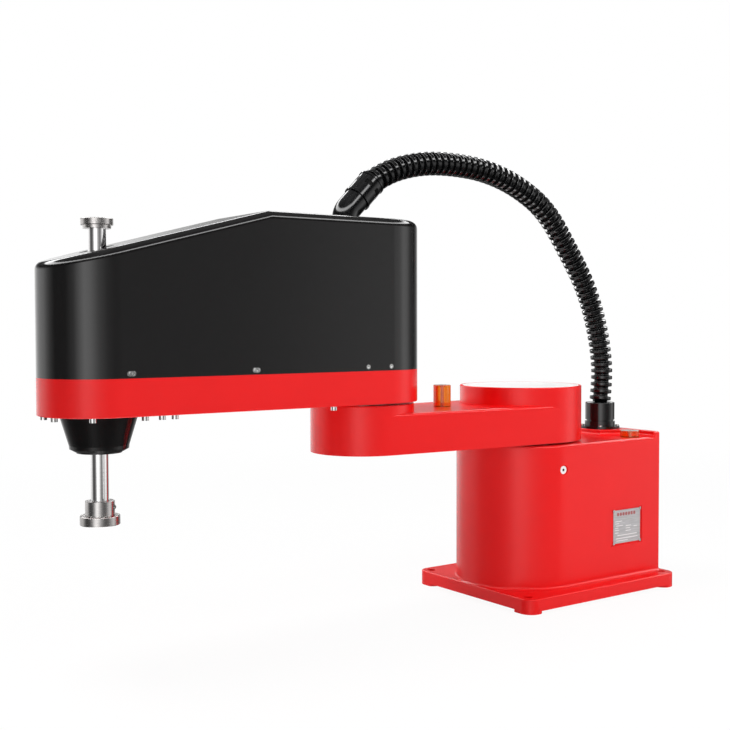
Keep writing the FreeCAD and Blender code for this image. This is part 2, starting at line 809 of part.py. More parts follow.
def j1_output_hub():
    hub_bottom = link_bottom - j1_hub_length
    hub = cylinder(j1_x, 0, hub_bottom, j1_hub_radius, j1_hub_length)
    hub = hub.fuse(cylinder(j1_x, 0, link_bottom - swing_gap + 1, j1_hub_radius + 12, swing_gap - 1))
    hub = hub.fuse(cylinder(j1_x, 0, link_bottom, j1_spigot_radius, j1_spigot_height))
    hub = hub.cut(cylinder(j1_x, 0, hub_bottom - 1, j1_hub_hollow_radius, 12))
    hub = hub.cut(cylinder(j1_x, 0, hub_bottom - 1, 12, j1_hub_length + j1_spigot_height + 2))
    for x, y in circle_places(j1_x, 0, j1_hub_screw_circle, hub_screw_count):
        hub = hub.cut(aimed(screw_hole(frame_screw, 14), x, y, link_bottom, V(0, 0, 1)))
    return hub


def j1_output_screws():
    seat = link_bottom + link_floor
    screw = socket_screw(frame_screw, link_floor + 12)
    return Part.makeCompound([aimed(screw, x, y, seat, V(0, 0, 1))
                              for x, y in circle_places(j1_x, 0, j1_hub_screw_circle, hub_screw_count)])


# Link 1

def link_prism(inset, z, height):
    return two_circle_prism(j1_x, link_root_radius - inset, j2_x, link_tip_radius - inset, z, height)


def link_1_casting():
    arm = link_prism(0, link_bottom, link_thickness)
    arm = round_edges(arm, link_edge_radius, at_height(arm_top))
    root = cylinder(j1_x, 0, link_bottom, link_root_radius, j1_boss_top - link_bottom)
    root = round_edges(root, 1.5, at_height(j1_boss_top))
    tip = cylinder(j2_x, 0, link_bottom, link_tip_radius, j2_boss_top - link_bottom)
    tip = round_edges(tip, 2.0, at_height(j2_boss_top))
    body = arm.fuse(root).fuse(tip).removeSplitter()
    body = body.cut(cylinder(j1_x, 0, link_bottom + link_floor, link_root_radius - link_wall, 200))
    body = body.cut(cylinder(j1_x, 0, j1_boss_top - cap_thickness, cap_radius + rim_gap, 20))
    pocket = link_prism(link_wall, link_bottom - 1, link_thickness - link_roof + 1)
    pocket = pocket.cut(cylinder(j1_x, 0, link_bottom - 2, link_root_radius, 200))
    body = body.cut(pocket)
    body = body.cut(cylinder(j2_x, 0, link_bottom - 1, link_tip_radius - link_wall,
                             j2_boss_top - j2_spigot_height - 4 - link_bottom + 1))
    for side in (-1, 1):
        low, high = side * rib_side - rib_width / 2, side * rib_side + rib_width / 2
        rib = box(j1_x + link_root_radius - 2, j2_x - link_tip_radius + link_wall + 6, low, high,
                  link_bottom + link_cover_thickness + 1, arm_top - link_roof + 1)
        body = body.fuse(rib)
    body = body.cut(link_cover_outline(0, link_bottom - 1, link_cover_thickness + 1))
    body = body.cut(cylinder(j1_x, 0, link_bottom - 1, j1_spigot_radius + seat_gap, link_floor + 2))
    for x, y in circle_places(j1_x, 0, j1_hub_screw_circle, hub_screw_count):
        body = body.cut(cylinder(x, y, link_bottom - 1, frame_clear, link_floor + 2))
    j2_floor = j2_boss_top - j2_spigot_height - 4
    body = body.cut(cylinder(j2_x, 0, j2_floor - 1, j2_spigot_radius + seat_gap, 30))
    for x, y in circle_places(j2_x, 0, j2_hub_screw_circle, hub_screw_count):
        body = body.cut(cylinder(x, y, j2_floor - 1, frame_clear, 30))
    body = body.cut(cylinder(j2_x - j2_stop_back, 0, arm_top - link_roof - 1, small_clear, link_roof + 2))
    cover_seat = link_bottom + link_cover_thickness
    for x, y in link_cover_screw_places():
        body = body.cut(aimed(screw_hole(small_screw, 7), x, y, cover_seat, V(0, 0, -1)))
    return body


def link_cover_outline(gap, z, height):
    """The belly cover: the link's outline drawn in, cut back clear of the first axis."""
    outline = link_prism(link_cover_inset / 2 + gap, z, height)
    return outline.cut(cylinder(j1_x, 0, z - 1, link_root_radius + 1 + gap, height + 2))


def link_cover_screw_places():
    inset = (link_cover_inset / 2 + link_wall) / 2
    places = []
    for share in (0.38, 0.7, 1.0):
        half = link_root_radius + share * (link_tip_radius - link_root_radius) - inset
        for side in (-1, 1):
            places.append((j1_x + share * arm_1_length, side * half))
    return places


def link_1_bottom_cover():
    cover = link_cover_outline(rim_gap, link_bottom, link_cover_thickness)
    for x, y in link_cover_screw_places():
        cover = cover.cut(cylinder(x, y, link_bottom - 1, small_clear, 10))
    return cover


def j1_cap():
    low = j1_boss_top - cap_thickness
    cap = cylinder(j1_x, 0, low, cap_radius, cap_thickness)
    cap = round_edges(cap, 0.8, at_height(j1_boss_top))
    outer = link_root_radius - link_wall - rim_gap
    return cap.fuse(ring(j1_x, 0, low - cap_skirt, outer, outer - cap_skirt_wall, cap_skirt + 0.5))


def j2_stop_bumper():
    return bumper(j2_x - j2_stop_back, 0, arm_top, j2_stop_radius, j2_stop_height)


def j2_stop_screw():
    seat = arm_top + j2_stop_height - small_screw
    screw = socket_screw(small_screw, j2_stop_height - small_screw + link_roof - 1)
    return aimed(screw, j2_x - j2_stop_back, 0, seat, V(0, 0, 1))


# Second axis drive

def j2_output_hub():
    top = forearm_bottom + j2_hub_engagement
    hub = cylinder(j2_x, 0, j2_boss_top, j2_hub_radius, top - j2_boss_top)
    hub = hub.fuse(cylinder(j2_x, 0, j2_boss_top, j2_hub_flange_radius, j2_hub_flange))
    hub = hub.fuse(cylinder(j2_x, 0, j2_boss_top - j2_spigot_height, j2_spigot_radius, j2_spigot_height))
    hub = hub.cut(cylinder(j2_x, 0, forearm_bottom + 2, j2_hub_hollow_radius, 30))
    hub = hub.cut(cylinder(j2_x, 0, j2_boss_top - j2_spigot_height - 1, 10, 60))
    for x, y in circle_places(j2_x, 0, j2_hub_screw_circle, hub_screw_count):
        hub = hub.cut(cylinder(x, y, j2_boss_top - 1, frame_clear, 11))
    return hub


def j2_output_screws():
    seat = j2_boss_top - j2_spigot_height - 4
    screw = socket_screw(frame_screw, j2_boss_top - seat + 9)
    return Part.makeCompound([aimed(screw, x, y, seat, V(0, 0, -1))
                              for x, y in circle_places(j2_x, 0, j2_hub_screw_circle, hub_screw_count)])


def j2_reducer():
    body = cylinder(j2_x, 0, forearm_bottom, j2_bore_radius, casting_floor + j2_reducer_flange)
    body = body.fuse(cylinder(j2_x, 0, floor_top, j2_reducer_flange_radius, j2_reducer_flange))
    body = body.cut(cylinder(j2_x, 0, forearm_bottom - 1, j2_hub_radius + fit_gap, j2_hub_engagement + 2))
    body = body.cut(cylinder(j2_x, 0, forearm_bottom, j2_hub_hollow_radius, 60))
    circle = (j2_bore_radius + j2_reducer_flange_radius) / 2
    for x, y in circle_places(j2_x, 0, circle, hub_screw_count):
        body = body.cut(cylinder(x, y, floor_top - 1, frame_clear, j2_reducer_flange + 2))
    return body


def j2_reducer_screws():
    circle = (j2_bore_radius + j2_reducer_flange_radius) / 2
    seat = floor_top + j2_reducer_flange
    screw = socket_screw(frame_screw, j2_reducer_flange + 8)
    return Part.makeCompound([aimed(screw, x, y, seat, V(0, 0, 1))
                              for x, y in circle_places(j2_x, 0, circle, hub_screw_count)])


def j2_motor():
    face = floor_top + j2_reducer_flange
    motor = servo_motor(j2_x, face, j2_motor_side, j2_motor_length, j2_encoder_length, True)
    return motor.fuse(cylinder(j2_x, 0, face - 12, 7, 12))


# Forearm casting and cover

def forearm_prism(inset, z, height):
    return two_circle_prism(j2_x, forearm_root_radius - inset, j3_x, forearm_tip_radius - inset, z, height)


def rim_half_width(back, inset):
    """Half the forearm's width at a distance behind the tool shaft."""
    share = back / arm_2_length
    return forearm_tip_radius + share * (forearm_root_radius - forearm_tip_radius) - inset


def rim_bolt_places():
    places = []
    for side in (-1, 1):
        for back in rim_bolt_backs:
            places.append((j3_x - back, side * rim_half_width(back, rim_bolt_inset)))
        for angle in rim_bolt_nose_angles:
            turn = math.radians(angle)
            reach = forearm_tip_radius - rim_bolt_inset
            places.append((j3_x + reach * math.cos(turn), side * reach * math.sin(turn)))
    return places


def spline_screw_places():
    circle = (spline_housing_radius + spline_housing_flange_radius) / 2
    return circle_places(j3_x, 0, circle, hub_screw_count, 22.5)


def post_places():
    places = []
    for side in (-1, 1):
        places.append((j3_x - j3_post_back, side * j3_post_side, j3_bracket_z))
        places.append((j3_x + j3_post_ahead, side * j3_post_side, j3_bracket_z))
    for x, y in corner_places(j3_x - j4_motor_back, 0, j4_post_offset, j4_post_offset):
        places.append((x, y, j4_bracket_z))
    return places


def forearm_casting():
    body = forearm_prism(0, forearm_bottom, casting_height)
    body = round_edges(body, casting_edge_radius, at_height(forearm_bottom))
    body = body.cut(forearm_prism(casting_wall, floor_top, casting_height))
    lip_outer = cover_wall + rim_gap
    lip = forearm_prism(lip_outer, casting_top - 4, 4 + lip_height)
    lip = lip.cut(forearm_prism(lip_outer + lip_wall, casting_top - 9, 20 + lip_height))
    body = body.fuse(lip)
    for x, y in rim_bolt_places():
        body = body.fuse(cylinder(x, y, floor_top - 1, rim_bolt_size + 0.5, 26).common(
            forearm_prism(1, floor_top - 1, 26)))
        hole = screw_hole(rim_bolt_size, rim_bolt_length)
        body = body.cut(aimed(hole, x, y, forearm_bottom, V(0, 0, -1)))
    below, through = forearm_bottom - 1, casting_floor + 2
    body = body.cut(cylinder(j2_x, 0, below, j2_bore_radius + seat_gap, through))
    circle = (j2_bore_radius + j2_reducer_flange_radius) / 2
    for x, y in circle_places(j2_x, 0, circle, hub_screw_count):
        body = body.cut(aimed(screw_hole(frame_screw, 9), x, y, floor_top, V(0, 0, 1)))
    body = body.cut(cylinder(j3_x, 0, below, spline_housing_radius + seat_gap, through))
    for x, y in spline_screw_places():
        body = body.cut(aimed(screw_hole(small_screw, 7), x, y, floor_top, V(0, 0, 1)))
    for x, y in skirt_screw_places():
        body = body.cut(aimed(screw_hole(small_screw, 7), x, y, forearm_bottom, V(0, 0, -1)))
    for x, y, way, slotted in cover_screw_places():
        hole = Part.makeCylinder(cover_screw_size / 2 + seat_gap, 12)
        body = body.cut(aimed(hole, x, y - 10 * way, casting_top + cover_screw_rise, V(0, way, 0)))
    return body


def cover_shape(inset, edge_radius):
    """The cover's outside drawn in by inset: a tall rear that slopes down to the front."""
    height = cover_height - inset
    body = forearm_prism(inset, casting_top, height)
    slope = math.radians(cover_slope_angle)
    start = j3_x - cover_slope_start - inset * math.tan(slope / 2)
    end = j3_x + forearm_tip_radius + 20
    top = casting_top + height
    side = -2 * forearm_root_radius
    fallen = top - (end - start) * math.tan(slope)
    corners = [V(start, side, top), V(end, side, top), V(end, side, fallen), V(start, side, top)]
    body = body.cut(Part.Face(Part.makePolygon(corners)).extrude(V(0, -2 * side, 0)))
    low = casting_top + 0.4 * cover_height

    def rim_edge(edge):
        middle = edge.valueAt((edge.FirstParameter + edge.LastParameter) / 2)
        across = edge.BoundBox.XLength < 0.01 and edge.BoundBox.YLength > forearm_root_radius
        return middle.z > low and edge.BoundBox.ZMin > low and not upright(edge) and not across

    return round_edges(body, edge_radius, rim_edge)


def cover_screw_places():
    places = []
    for side in (-1, 1):
        for back in slot_screw_backs:
            places.append((j3_x - back, side * rim_half_width(back, 0), side, True))
        for back in round_screw_backs:
            places.append((j3_x - back, side * rim_half_width(back, 0), side, False))
    return places


def obround(length, width, depth):
    """A slot shape along X, built along +Z."""
    half = (length - width) / 2
    core = box(-half, half, -width / 2, width / 2, 0, depth)
    return core.fuse(Part.makeCylinder(width / 2, depth, V(-half, 0, 0))).fuse(
        Part.makeCylinder(width / 2, depth, V(half, 0, 0)))


def forearm_cover():
    body = cover_shape(0, cover_edge_radius)
    body = body.cut(cover_shape(cover_wall, cover_edge_radius - cover_wall))
    z = casting_top + cover_screw_rise
    for x, y, way, slotted in cover_screw_places():
        if slotted:
            recess = obround(slot_length, slot_width, 5)
        else:
            recess = Part.makeCylinder(slot_width / 2, 5)
        recess.rotate(V(0, 0, 0), V(1, 0, 0), -90 * way)
        recess.translate(V(x, y - way * slot_depth, z))
        body = body.cut(recess)
        hole = Part.makeCylinder(cover_screw_size / 2 + seat_gap, 20)
        body = body.cut(aimed(hole, x, y - 10 * way, z, V(0, way, 0)))
    body = body.cut(cylinder(j3_x, 0, casting_top + 60, shaft_hole_radius, cover_height))
    body = body.cut(cylinder(elbow_x, 0, cover_top - 20, elbow_hole_radius, 40))
    for x, y in elbow_screw_places():
        body = body.cut(cylinder(x, y, cover_top - 20, small_clear, 40))
    return body


def cover_screws():
    z = casting_top + cover_screw_rise
    size = cover_screw_size
    screws = []
    for x, y, way, slotted in cover_screw_places():
        head = Part.makeCylinder(0.78 * size, 1.9)
        if slotted:
            head = head.fuse(obround(slot_length - 2 * slot_washer_gap, slot_width - 2 * slot_washer_gap,
                                     slot_washer_thickness))
        head = head.cut(Part.makeCylinder(0.3 * size, 1.2, V(0, 0, 0.9)))
        shank = Part.makeCylinder(size / 2, 7, V(0, 0, -7))
        screws.append(aimed(head.fuse(shank), x, y - way * slot_depth, z, V(0, way, 0)))
    return Part.makeCompound(screws)


def rim_bolts():
    bolt = socket_screw(rim_bolt_size, rim_bolt_length - 2)
    return Part.makeCompound([aimed(bolt, x, y, forearm_bottom, V(0, 0, -1)) for x, y in rim_bolt_places()])


# Brackets, motors and belts of the third and fourth axes

def bracket_with_posts(plate, z, places):
    for x, y, top in places:
        post = cylinder(x, y, floor_top, post_radius, z - floor_top + 1)
        plate = plate.fuse(post)
        plate = plate.cut(cylinder(x, y, floor_top - 1, frame_clear, 200))
    return plate


def j3_bracket():
    z, through = j3_bracket_z - 1, bracket_thickness + 2
    half = forearm_root_radius
    span = box(j3_x - j3_bracket_back, j3_x + j3_bracket_ahead, -half, half, z, z + through)
    plate = forearm_prism(bracket_inset, j3_bracket_z, bracket_thickness).common(span)
    plate = bracket_with_posts(plate, j3_bracket_z, post_places_at(j3_bracket_z))
    plate = plate.cut(cylinder(j3_x, 0, z, ball_nut_radius + fit_gap, through))
    return plate.cut(cylinder(j3_x - j3_motor_back, 0, z, motor_pulley_radius, through))


def j4_bracket():
    x, half = j3_x - j4_motor_back, j4_bracket_half
    plate = box(x - half, x + half, -half, half, j4_bracket_z, j4_bracket_z + bracket_thickness)
    plate = round_edges(plate, 8, upright)
    plate = bracket_with_posts(plate, j4_bracket_z, post_places_at(j4_bracket_z))
    return plate.cut(cylinder(x, 0, j4_bracket_z - 1, motor_pulley_radius, bracket_thickness + 2))


def post_places_at(z):
    return [place for place in post_places() if place[2] == z]


def bracket_screws():
    screws = []
    for x, y, z in post_places():
        seat = z + bracket_thickness
        screws.append(aimed(socket_screw(frame_screw, seat - floor_top), x, y, seat, V(0, 0, 1)))
    return Part.makeCompound(screws)


def belt_motor(x, face, length):
    """A motor over its bracket, with a socket that its pulley's shaft turns in."""
    motor = servo_motor(x, face, drive_motor_side, length, drive_encoder_length, True)
    return motor.cut(cylinder(x, 0, face - 1, motor_shaft_radius + 1, motor_shaft_socket + 3))


def j3_motor():
    return belt_motor(j3_x - j3_motor_back, j3_bracket_z + bracket_thickness, j3_motor_length)


def j4_motor():
    return belt_motor(j3_x - j4_motor_back, j4_bracket_z + bracket_thickness, j4_motor_length)


def motor_pulley(x, z, bracket_z):
    pulley = toothed_pulley(x, z, motor_pulley_radius, 0)
    shaft_end = bracket_z + bracket_thickness + motor_shaft_socket
    return pulley.fuse(cylinder(x, 0, z, motor_shaft_radius, shaft_end - z))


def j3_belt():
    return timing_belt(j3_x - j3_motor_back, motor_pulley_radius, j3_x, ball_pulley_radius, ball_pulley_z)


def j4_belt():
    x = j3_x - j4_motor_back
    return timing_belt(x, motor_pulley_radius, j3_x, spline_pulley_radius, spline_pulley_z)


# Tool shaft, its nuts and the skirt round them

def spline_housing():
    bottom = forearm_bottom - spline_housing_drop
    body = cylinder(j3_x, 0, bottom, spline_housing_radius, floor_top + spline_housing_flange - bottom)
    body = body.fuse(cylinder(j3_x, 0, floor_top, spline_housing_flange_radius, spline_housing_flange))
    body = body.cut(cylinder(j3_x, 0, bottom - 1, spline_nut_radius + fit_gap, 200))
    for x, y in spline_screw_places():
        body = body.cut(cylinder(x, y, floor_top - 1, small_clear, spline_housing_flange + 2))
        body = body.cut(cylinder(x, y, spline_screw_seat(), 0.8 * small_screw + seat_gap, 9))
    return body


def spline_screw_seat():
    return floor_top + spline_housing_flange - small_screw - 0.5


def spline_housing_screws():
    seat = spline_screw_seat()
    screw = socket_screw(small_screw, seat - floor_top + 6)
    return Part.makeCompound([aimed(screw, x, y, seat, V(0, 0, 1)) for x, y in spline_screw_places()])


def groove_places(reach):
    return circle_places(j3_x, 0, reach, groove_count, 90)


def spline_nut():
    bottom = forearm_bottom - spline_housing_drop - 3
    top = spline_pulley_z + pulley_width + nut_overhang
    nut = cylinder(j3_x, 0, bottom, spline_nut_radius, top - bottom)
    nut = nut.fuse(cylinder(j3_x, 0, bottom, spline_nut_radius + 4, 2.7))
    nut = nut.cut(cylinder(j3_x, 0, bottom - 1, shaft_radius + fit_gap, top - bottom + 2))
    for x, y in groove_places(shaft_radius + 0.1):
        nut = nut.fuse(cylinder(x, y, bottom + 2, groove_radius - 2 * fit_gap, top - bottom - 4))
    return nut.removeSplitter()


def spline_pulley():
    return toothed_pulley(j3_x, spline_pulley_z, spline_pulley_radius, spline_nut_radius)


def ball_nut():
    bottom = ball_pulley_z - nut_overhang
    length = ball_nut_top - bottom
    flange_z = j3_bracket_z + bracket_thickness + rim_gap
    nut = cylinder(j3_x, 0, bottom, ball_nut_radius, length)
    nut = nut.fuse(cylinder(j3_x, 0, flange_z, ball_nut_flange_radius, ball_nut_flange))
    return nut.cut(cylinder(j3_x, 0, bottom - 1, shaft_radius + fit_gap, length + 2))


def ball_nut_pulley():
    return toothed_pulley(j3_x, ball_pulley_z, ball_pulley_radius, ball_nut_radius)


def tool_shaft():
    shaft = cylinder(j3_x, 0, shaft_bottom, shaft_radius, shaft_length)
    shaft = shaft.cut(cylinder(j3_x, 0, shaft_bottom - 1, shaft_bore_radius, shaft_length + 2))
    grooved = shaft_bottom + flange_thickness + clamp_height + 4
    for x, y in groove_places(shaft_radius + 0.1):
        shaft = shaft.cut(cylinder(x, y, grooved, groove_radius, shaft_top - shaft_plain_end - grooved))
    return shaft


def tool_flange():
    flange = cylinder(j3_x, 0, shaft_bottom, flange_radius, flange_thickness)
    flange = round_edges(flange, 0.8, lambda edge: at_height(shaft_bottom)(edge) or
                         at_height(shaft_bottom + flange_thickness)(edge))
    clamp_z = shaft_bottom + flange_thickness
    flange = flange.fuse(cylinder(j3_x, 0, clamp_z, clamp_radius, clamp_height))
    flange = flange.cut(cylinder(j3_x, 0, shaft_bottom - 1, shaft_radius + seat_gap / 10, 100))
    half = clamp_slot / 2
    slot = box(j3_x - clamp_radius - 1, j3_x, -half, half, clamp_z + 2, clamp_z + clamp_height + 1)
    flange = flange.cut(slot)
    for x, y in circle_places(j3_x, 0, tool_hole_circle, tool_hole_count, 45):
        flange = flange.cut(cylinder(x, y, shaft_bottom - 1, tool_hole_radius, flange_thickness - 2.7))
    x, z = clamp_screw_place()
    hole = Part.makeCylinder(small_clear, 2 * clamp_radius)
    flange = flange.cut(aimed(hole, x, -clamp_radius, z, V(0, 1, 0)))
    size = small_screw
    pocket = box(x - size, x + size, half + clamp_ear, clamp_radius, z - size, z + size)
    screw = aimed(socket_screw(size, 12), x, half + clamp_ear, z, V(0, 1, 0))
    return Part.makeCompound([flange.cut(pocket), screw])


def clamp_screw_place():
    x = j3_x - (shaft_radius + clamp_radius) / 2
    return x, shaft_bottom + flange_thickness + clamp_height / 2 + 1


def top_collar():
    top = shaft_top - collar_below_top
    low = top - collar_thickness
    collar = cylinder(j3_x, 0, low, collar_radius, collar_thickness)
    collar = round_edges(collar, 0.8, lambda edge: at_height(top)(edge) or at_height(low)(edge))
    collar = collar.fuse(cylinder(j3_x, 0, low - collar_step, collar_step_radius, collar_step))
    return collar.cut(cylinder(j3_x, 0, top - 60, shaft_radius + seat_gap / 10, 100))


def skirt_screw_places():
    circle = spline_housing_radius + 9.5
    return circle_places(j3_x, 0, circle, 4)


def cone_skirt():
    top = forearm_bottom
    low = top - skirt_height
    shoulder = low + 4.0
    outside = [
        (skirt_hole_radius, top), (skirt_top_radius, top), (skirt_low_radius, shoulder + skirt_lip_radius),
        (skirt_low_radius - 0.5, shoulder), (skirt_ring_radius + 2.5, low),
        (skirt_ring_radius, low), (skirt_ring_radius, low - skirt_ring_height),
        (skirt_hole_radius, low - skirt_ring_height),
    ]
    body = spun(outside, j3_x)
    inner_top = skirt_top_radius - skirt_wall
    inside = [
        (skirt_hole_radius - 1, top + 1), (inner_top, top + 1), (inner_top, top - skirt_ear),
        (skirt_low_radius - skirt_wall, shoulder + skirt_lip_radius), (skirt_ring_radius, low + skirt_wall),
        (skirt_hole_radius - 1, low + skirt_wall),
    ]
    body = body.cut(spun(inside, j3_x))
    for x, y in skirt_screw_places():
        ear = cylinder(x, y, top - skirt_ear, 7.0, skirt_ear)
        body = body.fuse(ear.cut(cylinder(j3_x, 0, top - 10, spline_housing_radius + rim_gap, 20)))
        body = body.cut(cylinder(x, y, top - 10, small_clear, 20))
    return body


def skirt_screws():
    screw = socket_screw(small_screw, 10)
    return Part.makeCompound([aimed(screw, x, y, forearm_bottom - skirt_ear, V(0, 0, -1))
                              for x, y in skirt_screw_places()])


# Hose, gland and elbow

def gland_screw_places():
    return circle_places(gland_x, 0, gland_screw_circle, 4, 45)


def hose_gland():
    z = plateau_z
    body = cylinder(gland_x, 0, z, gland_flange_radius, gland_flange)
    z = z + gland_flange
    body = body.fuse(cylinder(gland_x, 0, z, gland_ring_radius, gland_ring_height))
    z = z + gland_ring_height
    body = body.fuse(cylinder(gland_x, 0, z, gland_neck_radius, gland_neck_height))
    z = z + gland_neck_height
    sleeve = cylinder(gland_x, 0, z, gland_body_radius, gland_body_height)
    body = body.fuse(round_edges(sleeve, 1.5, at_height(z + gland_body_height)))
    thread_length = plateau_z - deck_z + deck_thickness + gland_nut_height
    thread_z = plateau_z - thread_length
    body = body.fuse(cylinder(gland_x, 0, thread_z, gland_thread_radius, thread_length))
    body = body.cut(cylinder(gland_x, 0, thread_z - 1, gland_thread_radius - 4, thread_length + 12))
    for x, y in gland_screw_places():
        body = body.cut(cylinder(x, y, plateau_z - 1, small_clear, gland_flange + 2))
    points = hose_points()
    return body.cut(hose_seat(points[-1], points[-2]))


def gland_locknut():
    z = deck_z - deck_thickness - gland_nut_height
    nut = cylinder(gland_x, 0, z, gland_nut_radius, gland_nut_height)
    for x, y in circle_places(gland_x, 0, gland_nut_radius, 8):
        nut = nut.cut(cylinder(x, y, z - 1, 3, gland_nut_height + 2))
    return nut.cut(cylinder(gland_x, 0, z - 1, gland_thread_radius + fit_gap, gland_nut_height + 2))


def gland_screws():
    head = Part.makeCylinder(0.8 * small_screw, 2.4)
    head = head.cut(Part.makeCylinder(0.35 * small_screw, 2, V(0, 0, 1.2)))
    screw = head.fuse(Part.makeCylinder(small_screw / 2, gland_flange + 7, V(0, 0, -gland_flange - 7)))
    return Part.makeCompound([aimed(screw, x, y, plateau_z + gland_flange, V(0, 0, 1))
                              for x, y in gland_screw_places()])


def elbow_frame():
    """Bend points of the elbow's centre line, in the plane of the arm."""
    turn = math.radians(elbow_angle)
    tangent = elbow_bend_radius * math.tan(turn / 2)
    corner = V(elbow_x, 0, cover_top + elbow_rise)
    way = V(-math.sin(turn), 0, math.cos(turn))
    return corner, way, tangent


def elbow_path():
    corner, way, tangent = elbow_frame()
    start = V(elbow_x, 0, cover_top)
    bend_in = corner.sub(V(0, 0, tangent))
    bend_out = corner.add(V(way).multiply(tangent))
    turn = math.radians(elbow_angle)
    centre = V(corner.x - elbow_bend_radius, 0, bend_in.z)
    middle = V(centre.x + elbow_bend_radius * math.cos(turn / 2), 0,
               centre.z + elbow_bend_radius * math.sin(turn / 2))
    end = bend_out.add(V(way).multiply(elbow_straight))
    edges = [
        Part.LineSegment(start, bend_in).toShape(),
        Part.Arc(bend_in, middle, bend_out).toShape(),
        Part.LineSegment(bend_out, end).toShape(),
    ]
    return Part.Wire(edges), end, way


def pipe_along(wire, start, way, radius):
    profile = Part.Wire(Part.makeCircle(radius, start, way))
    return wire.makePipeShell([profile], True, True)


def elbow_screw_places():
    return circle_places(elbow_x, 0, elbow_foot_radius + 6.5, 2, 0)


def elbow_fitting():
    wire, end, way = elbow_path()
    start = V(elbow_x, 0, cover_top)
    body = pipe_along(wire, start, V(0, 0, 1), elbow_pipe_radius)
    body = body.cut(pipe_along(wire, start, V(0, 0, 1), elbow_pipe_radius - elbow_pipe_wall))
    foot = two_circle_prism(elbow_x - elbow_foot_radius - 6, 8, elbow_x + elbow_foot_radius + 6, 7.99,
                            cover_top, elbow_foot_height)
    foot = foot.fuse(cylinder(elbow_x, 0, cover_top, elbow_foot_radius, elbow_foot_height))
    foot = foot.cut(cylinder(elbow_x, 0, cover_top - 1, elbow_pipe_radius - 1, elbow_foot_height + 2))
    bore = elbow_hole_radius - elbow_pipe_wall
    spigot = ring(elbow_x, 0, cover_top - 12, elbow_hole_radius - seat_gap, bore, 12.2)
    body = body.fuse(foot).fuse(ring(elbow_x, 0, cover_top, elbow_pipe_radius - 1, bore, 2.0))
    body = body.fuse(spigot)
    for x, y in elbow_screw_places():
        body = body.cut(cylinder(x, y, cover_top - 1, small_clear, 20))
    return body


def elbow_screws():
    head = Part.makeCylinder(0.8 * small_screw, 2.2)
    head = head.cut(Part.makeCylinder(0.35 * small_screw, 2, V(0, 0, 1.0)))
    shank = Part.makeCylinder(small_screw / 2, elbow_foot_height + cover_wall + 3,
                              V(0, 0, -elbow_foot_height - cover_wall - 3))
    screw = head.fuse(shank)
    return Part.makeCompound([aimed(screw, x, y, cover_top + elbow_foot_height, V(0, 0, 1))
                              for x, y in elbow_screw_places()])


def elbow_nut():
    wire, end, way = elbow_path()
    nut = Part.makeCylinder(elbow_nut_radius - 1.2, elbow_nut_length)
    for along in (0, elbow_nut_length - elbow_ridge):
        nut = nut.fuse(Part.makeCylinder(elbow_nut_radius, elbow_ridge, V(0, 0, along)))
    nut = aimed(nut, end.x, end.y, end.z, way)
    points = hose_points()
    return nut.cut(hose_seat(points[0], points[1]))


def hose_seat(end, beside):
    """The pocket that a hose end sits in, square to its last run."""
    way = beside.sub(end).normalize()
    return bar(end, end.add(V(way).multiply(hose_diameter)), hose_diameter / 2 + rim_gap)


def hose_start():
    wire, end, way = elbow_path()
    return end.add(V(way).multiply(elbow_nut_length))


def hose_points():
    """The route's corners, from the elbow's nut over the arm and down into the gland."""
    start = hose_start()
    chosen = [
        (374.0, 728.0), (336.0, 743.0), (284.0, 754.0), (222.0, 756.5), (152.0, 751.5), (78.0, 731.0),
        (4.0, 691.0), (-54.0, 618.0), (-102.0, 551.0), (-132.0, 477.0), (-146.0, 408.0), (-145.0, 364.0),
    ]
    points = [start]
    for x, z in chosen:
        points.append(V(x, 0, z))
    points.append(V(gland_x, 0, gland_top))
    return points


def rounded_route(points):
    """Straight runs joined by arcs as large as each pair of runs allows."""
    edges, radii = [], []
    last = points[0]
    for before, corner, after in zip(points, points[1:], points[2:]):
        run_in, run_out = corner.sub(before), after.sub(corner)
        turn = run_in.getAngle(run_out)
        reach = 0.45 * min(run_in.Length, run_out.Length)
        radius = reach / math.tan(turn / 2)
        way_in, way_out = V(run_in).normalize(), V(run_out).normalize()
        arc_in = corner.sub(V(way_in).multiply(reach))
        arc_out = corner.add(V(way_out).multiply(reach))
        inward = V(way_out).sub(way_in).normalize()
        depth = radius / math.cos(turn / 2) - radius
        middle = corner.add(V(inward).multiply(depth))
        edges.append(Part.LineSegment(last, arc_in).toShape())
        edges.append(Part.Arc(arc_in, middle, arc_out).toShape())
        radii.append(radius)
        last = arc_out
    edges.append(Part.LineSegment(last, points[-1]).toShape())
    return Part.Wire(edges), radii


def cable_hose():
    points = hose_points()
    wire, radii = rounded_route(points)
    way = points[1].sub(points[0]).normalize()
    hose = pipe_along(wire, points[0], way, hose_diameter / 2)
    section = math.pi * hose_diameter ** 2 / 4
    print("hose length", round(wire.Length, 1))
    print("hose radii", [round(radius) for radius in radii])
    print("hose volume over section times length", round(hose.Volume / (section * wire.Length), 4))
    return hose


# All pieces

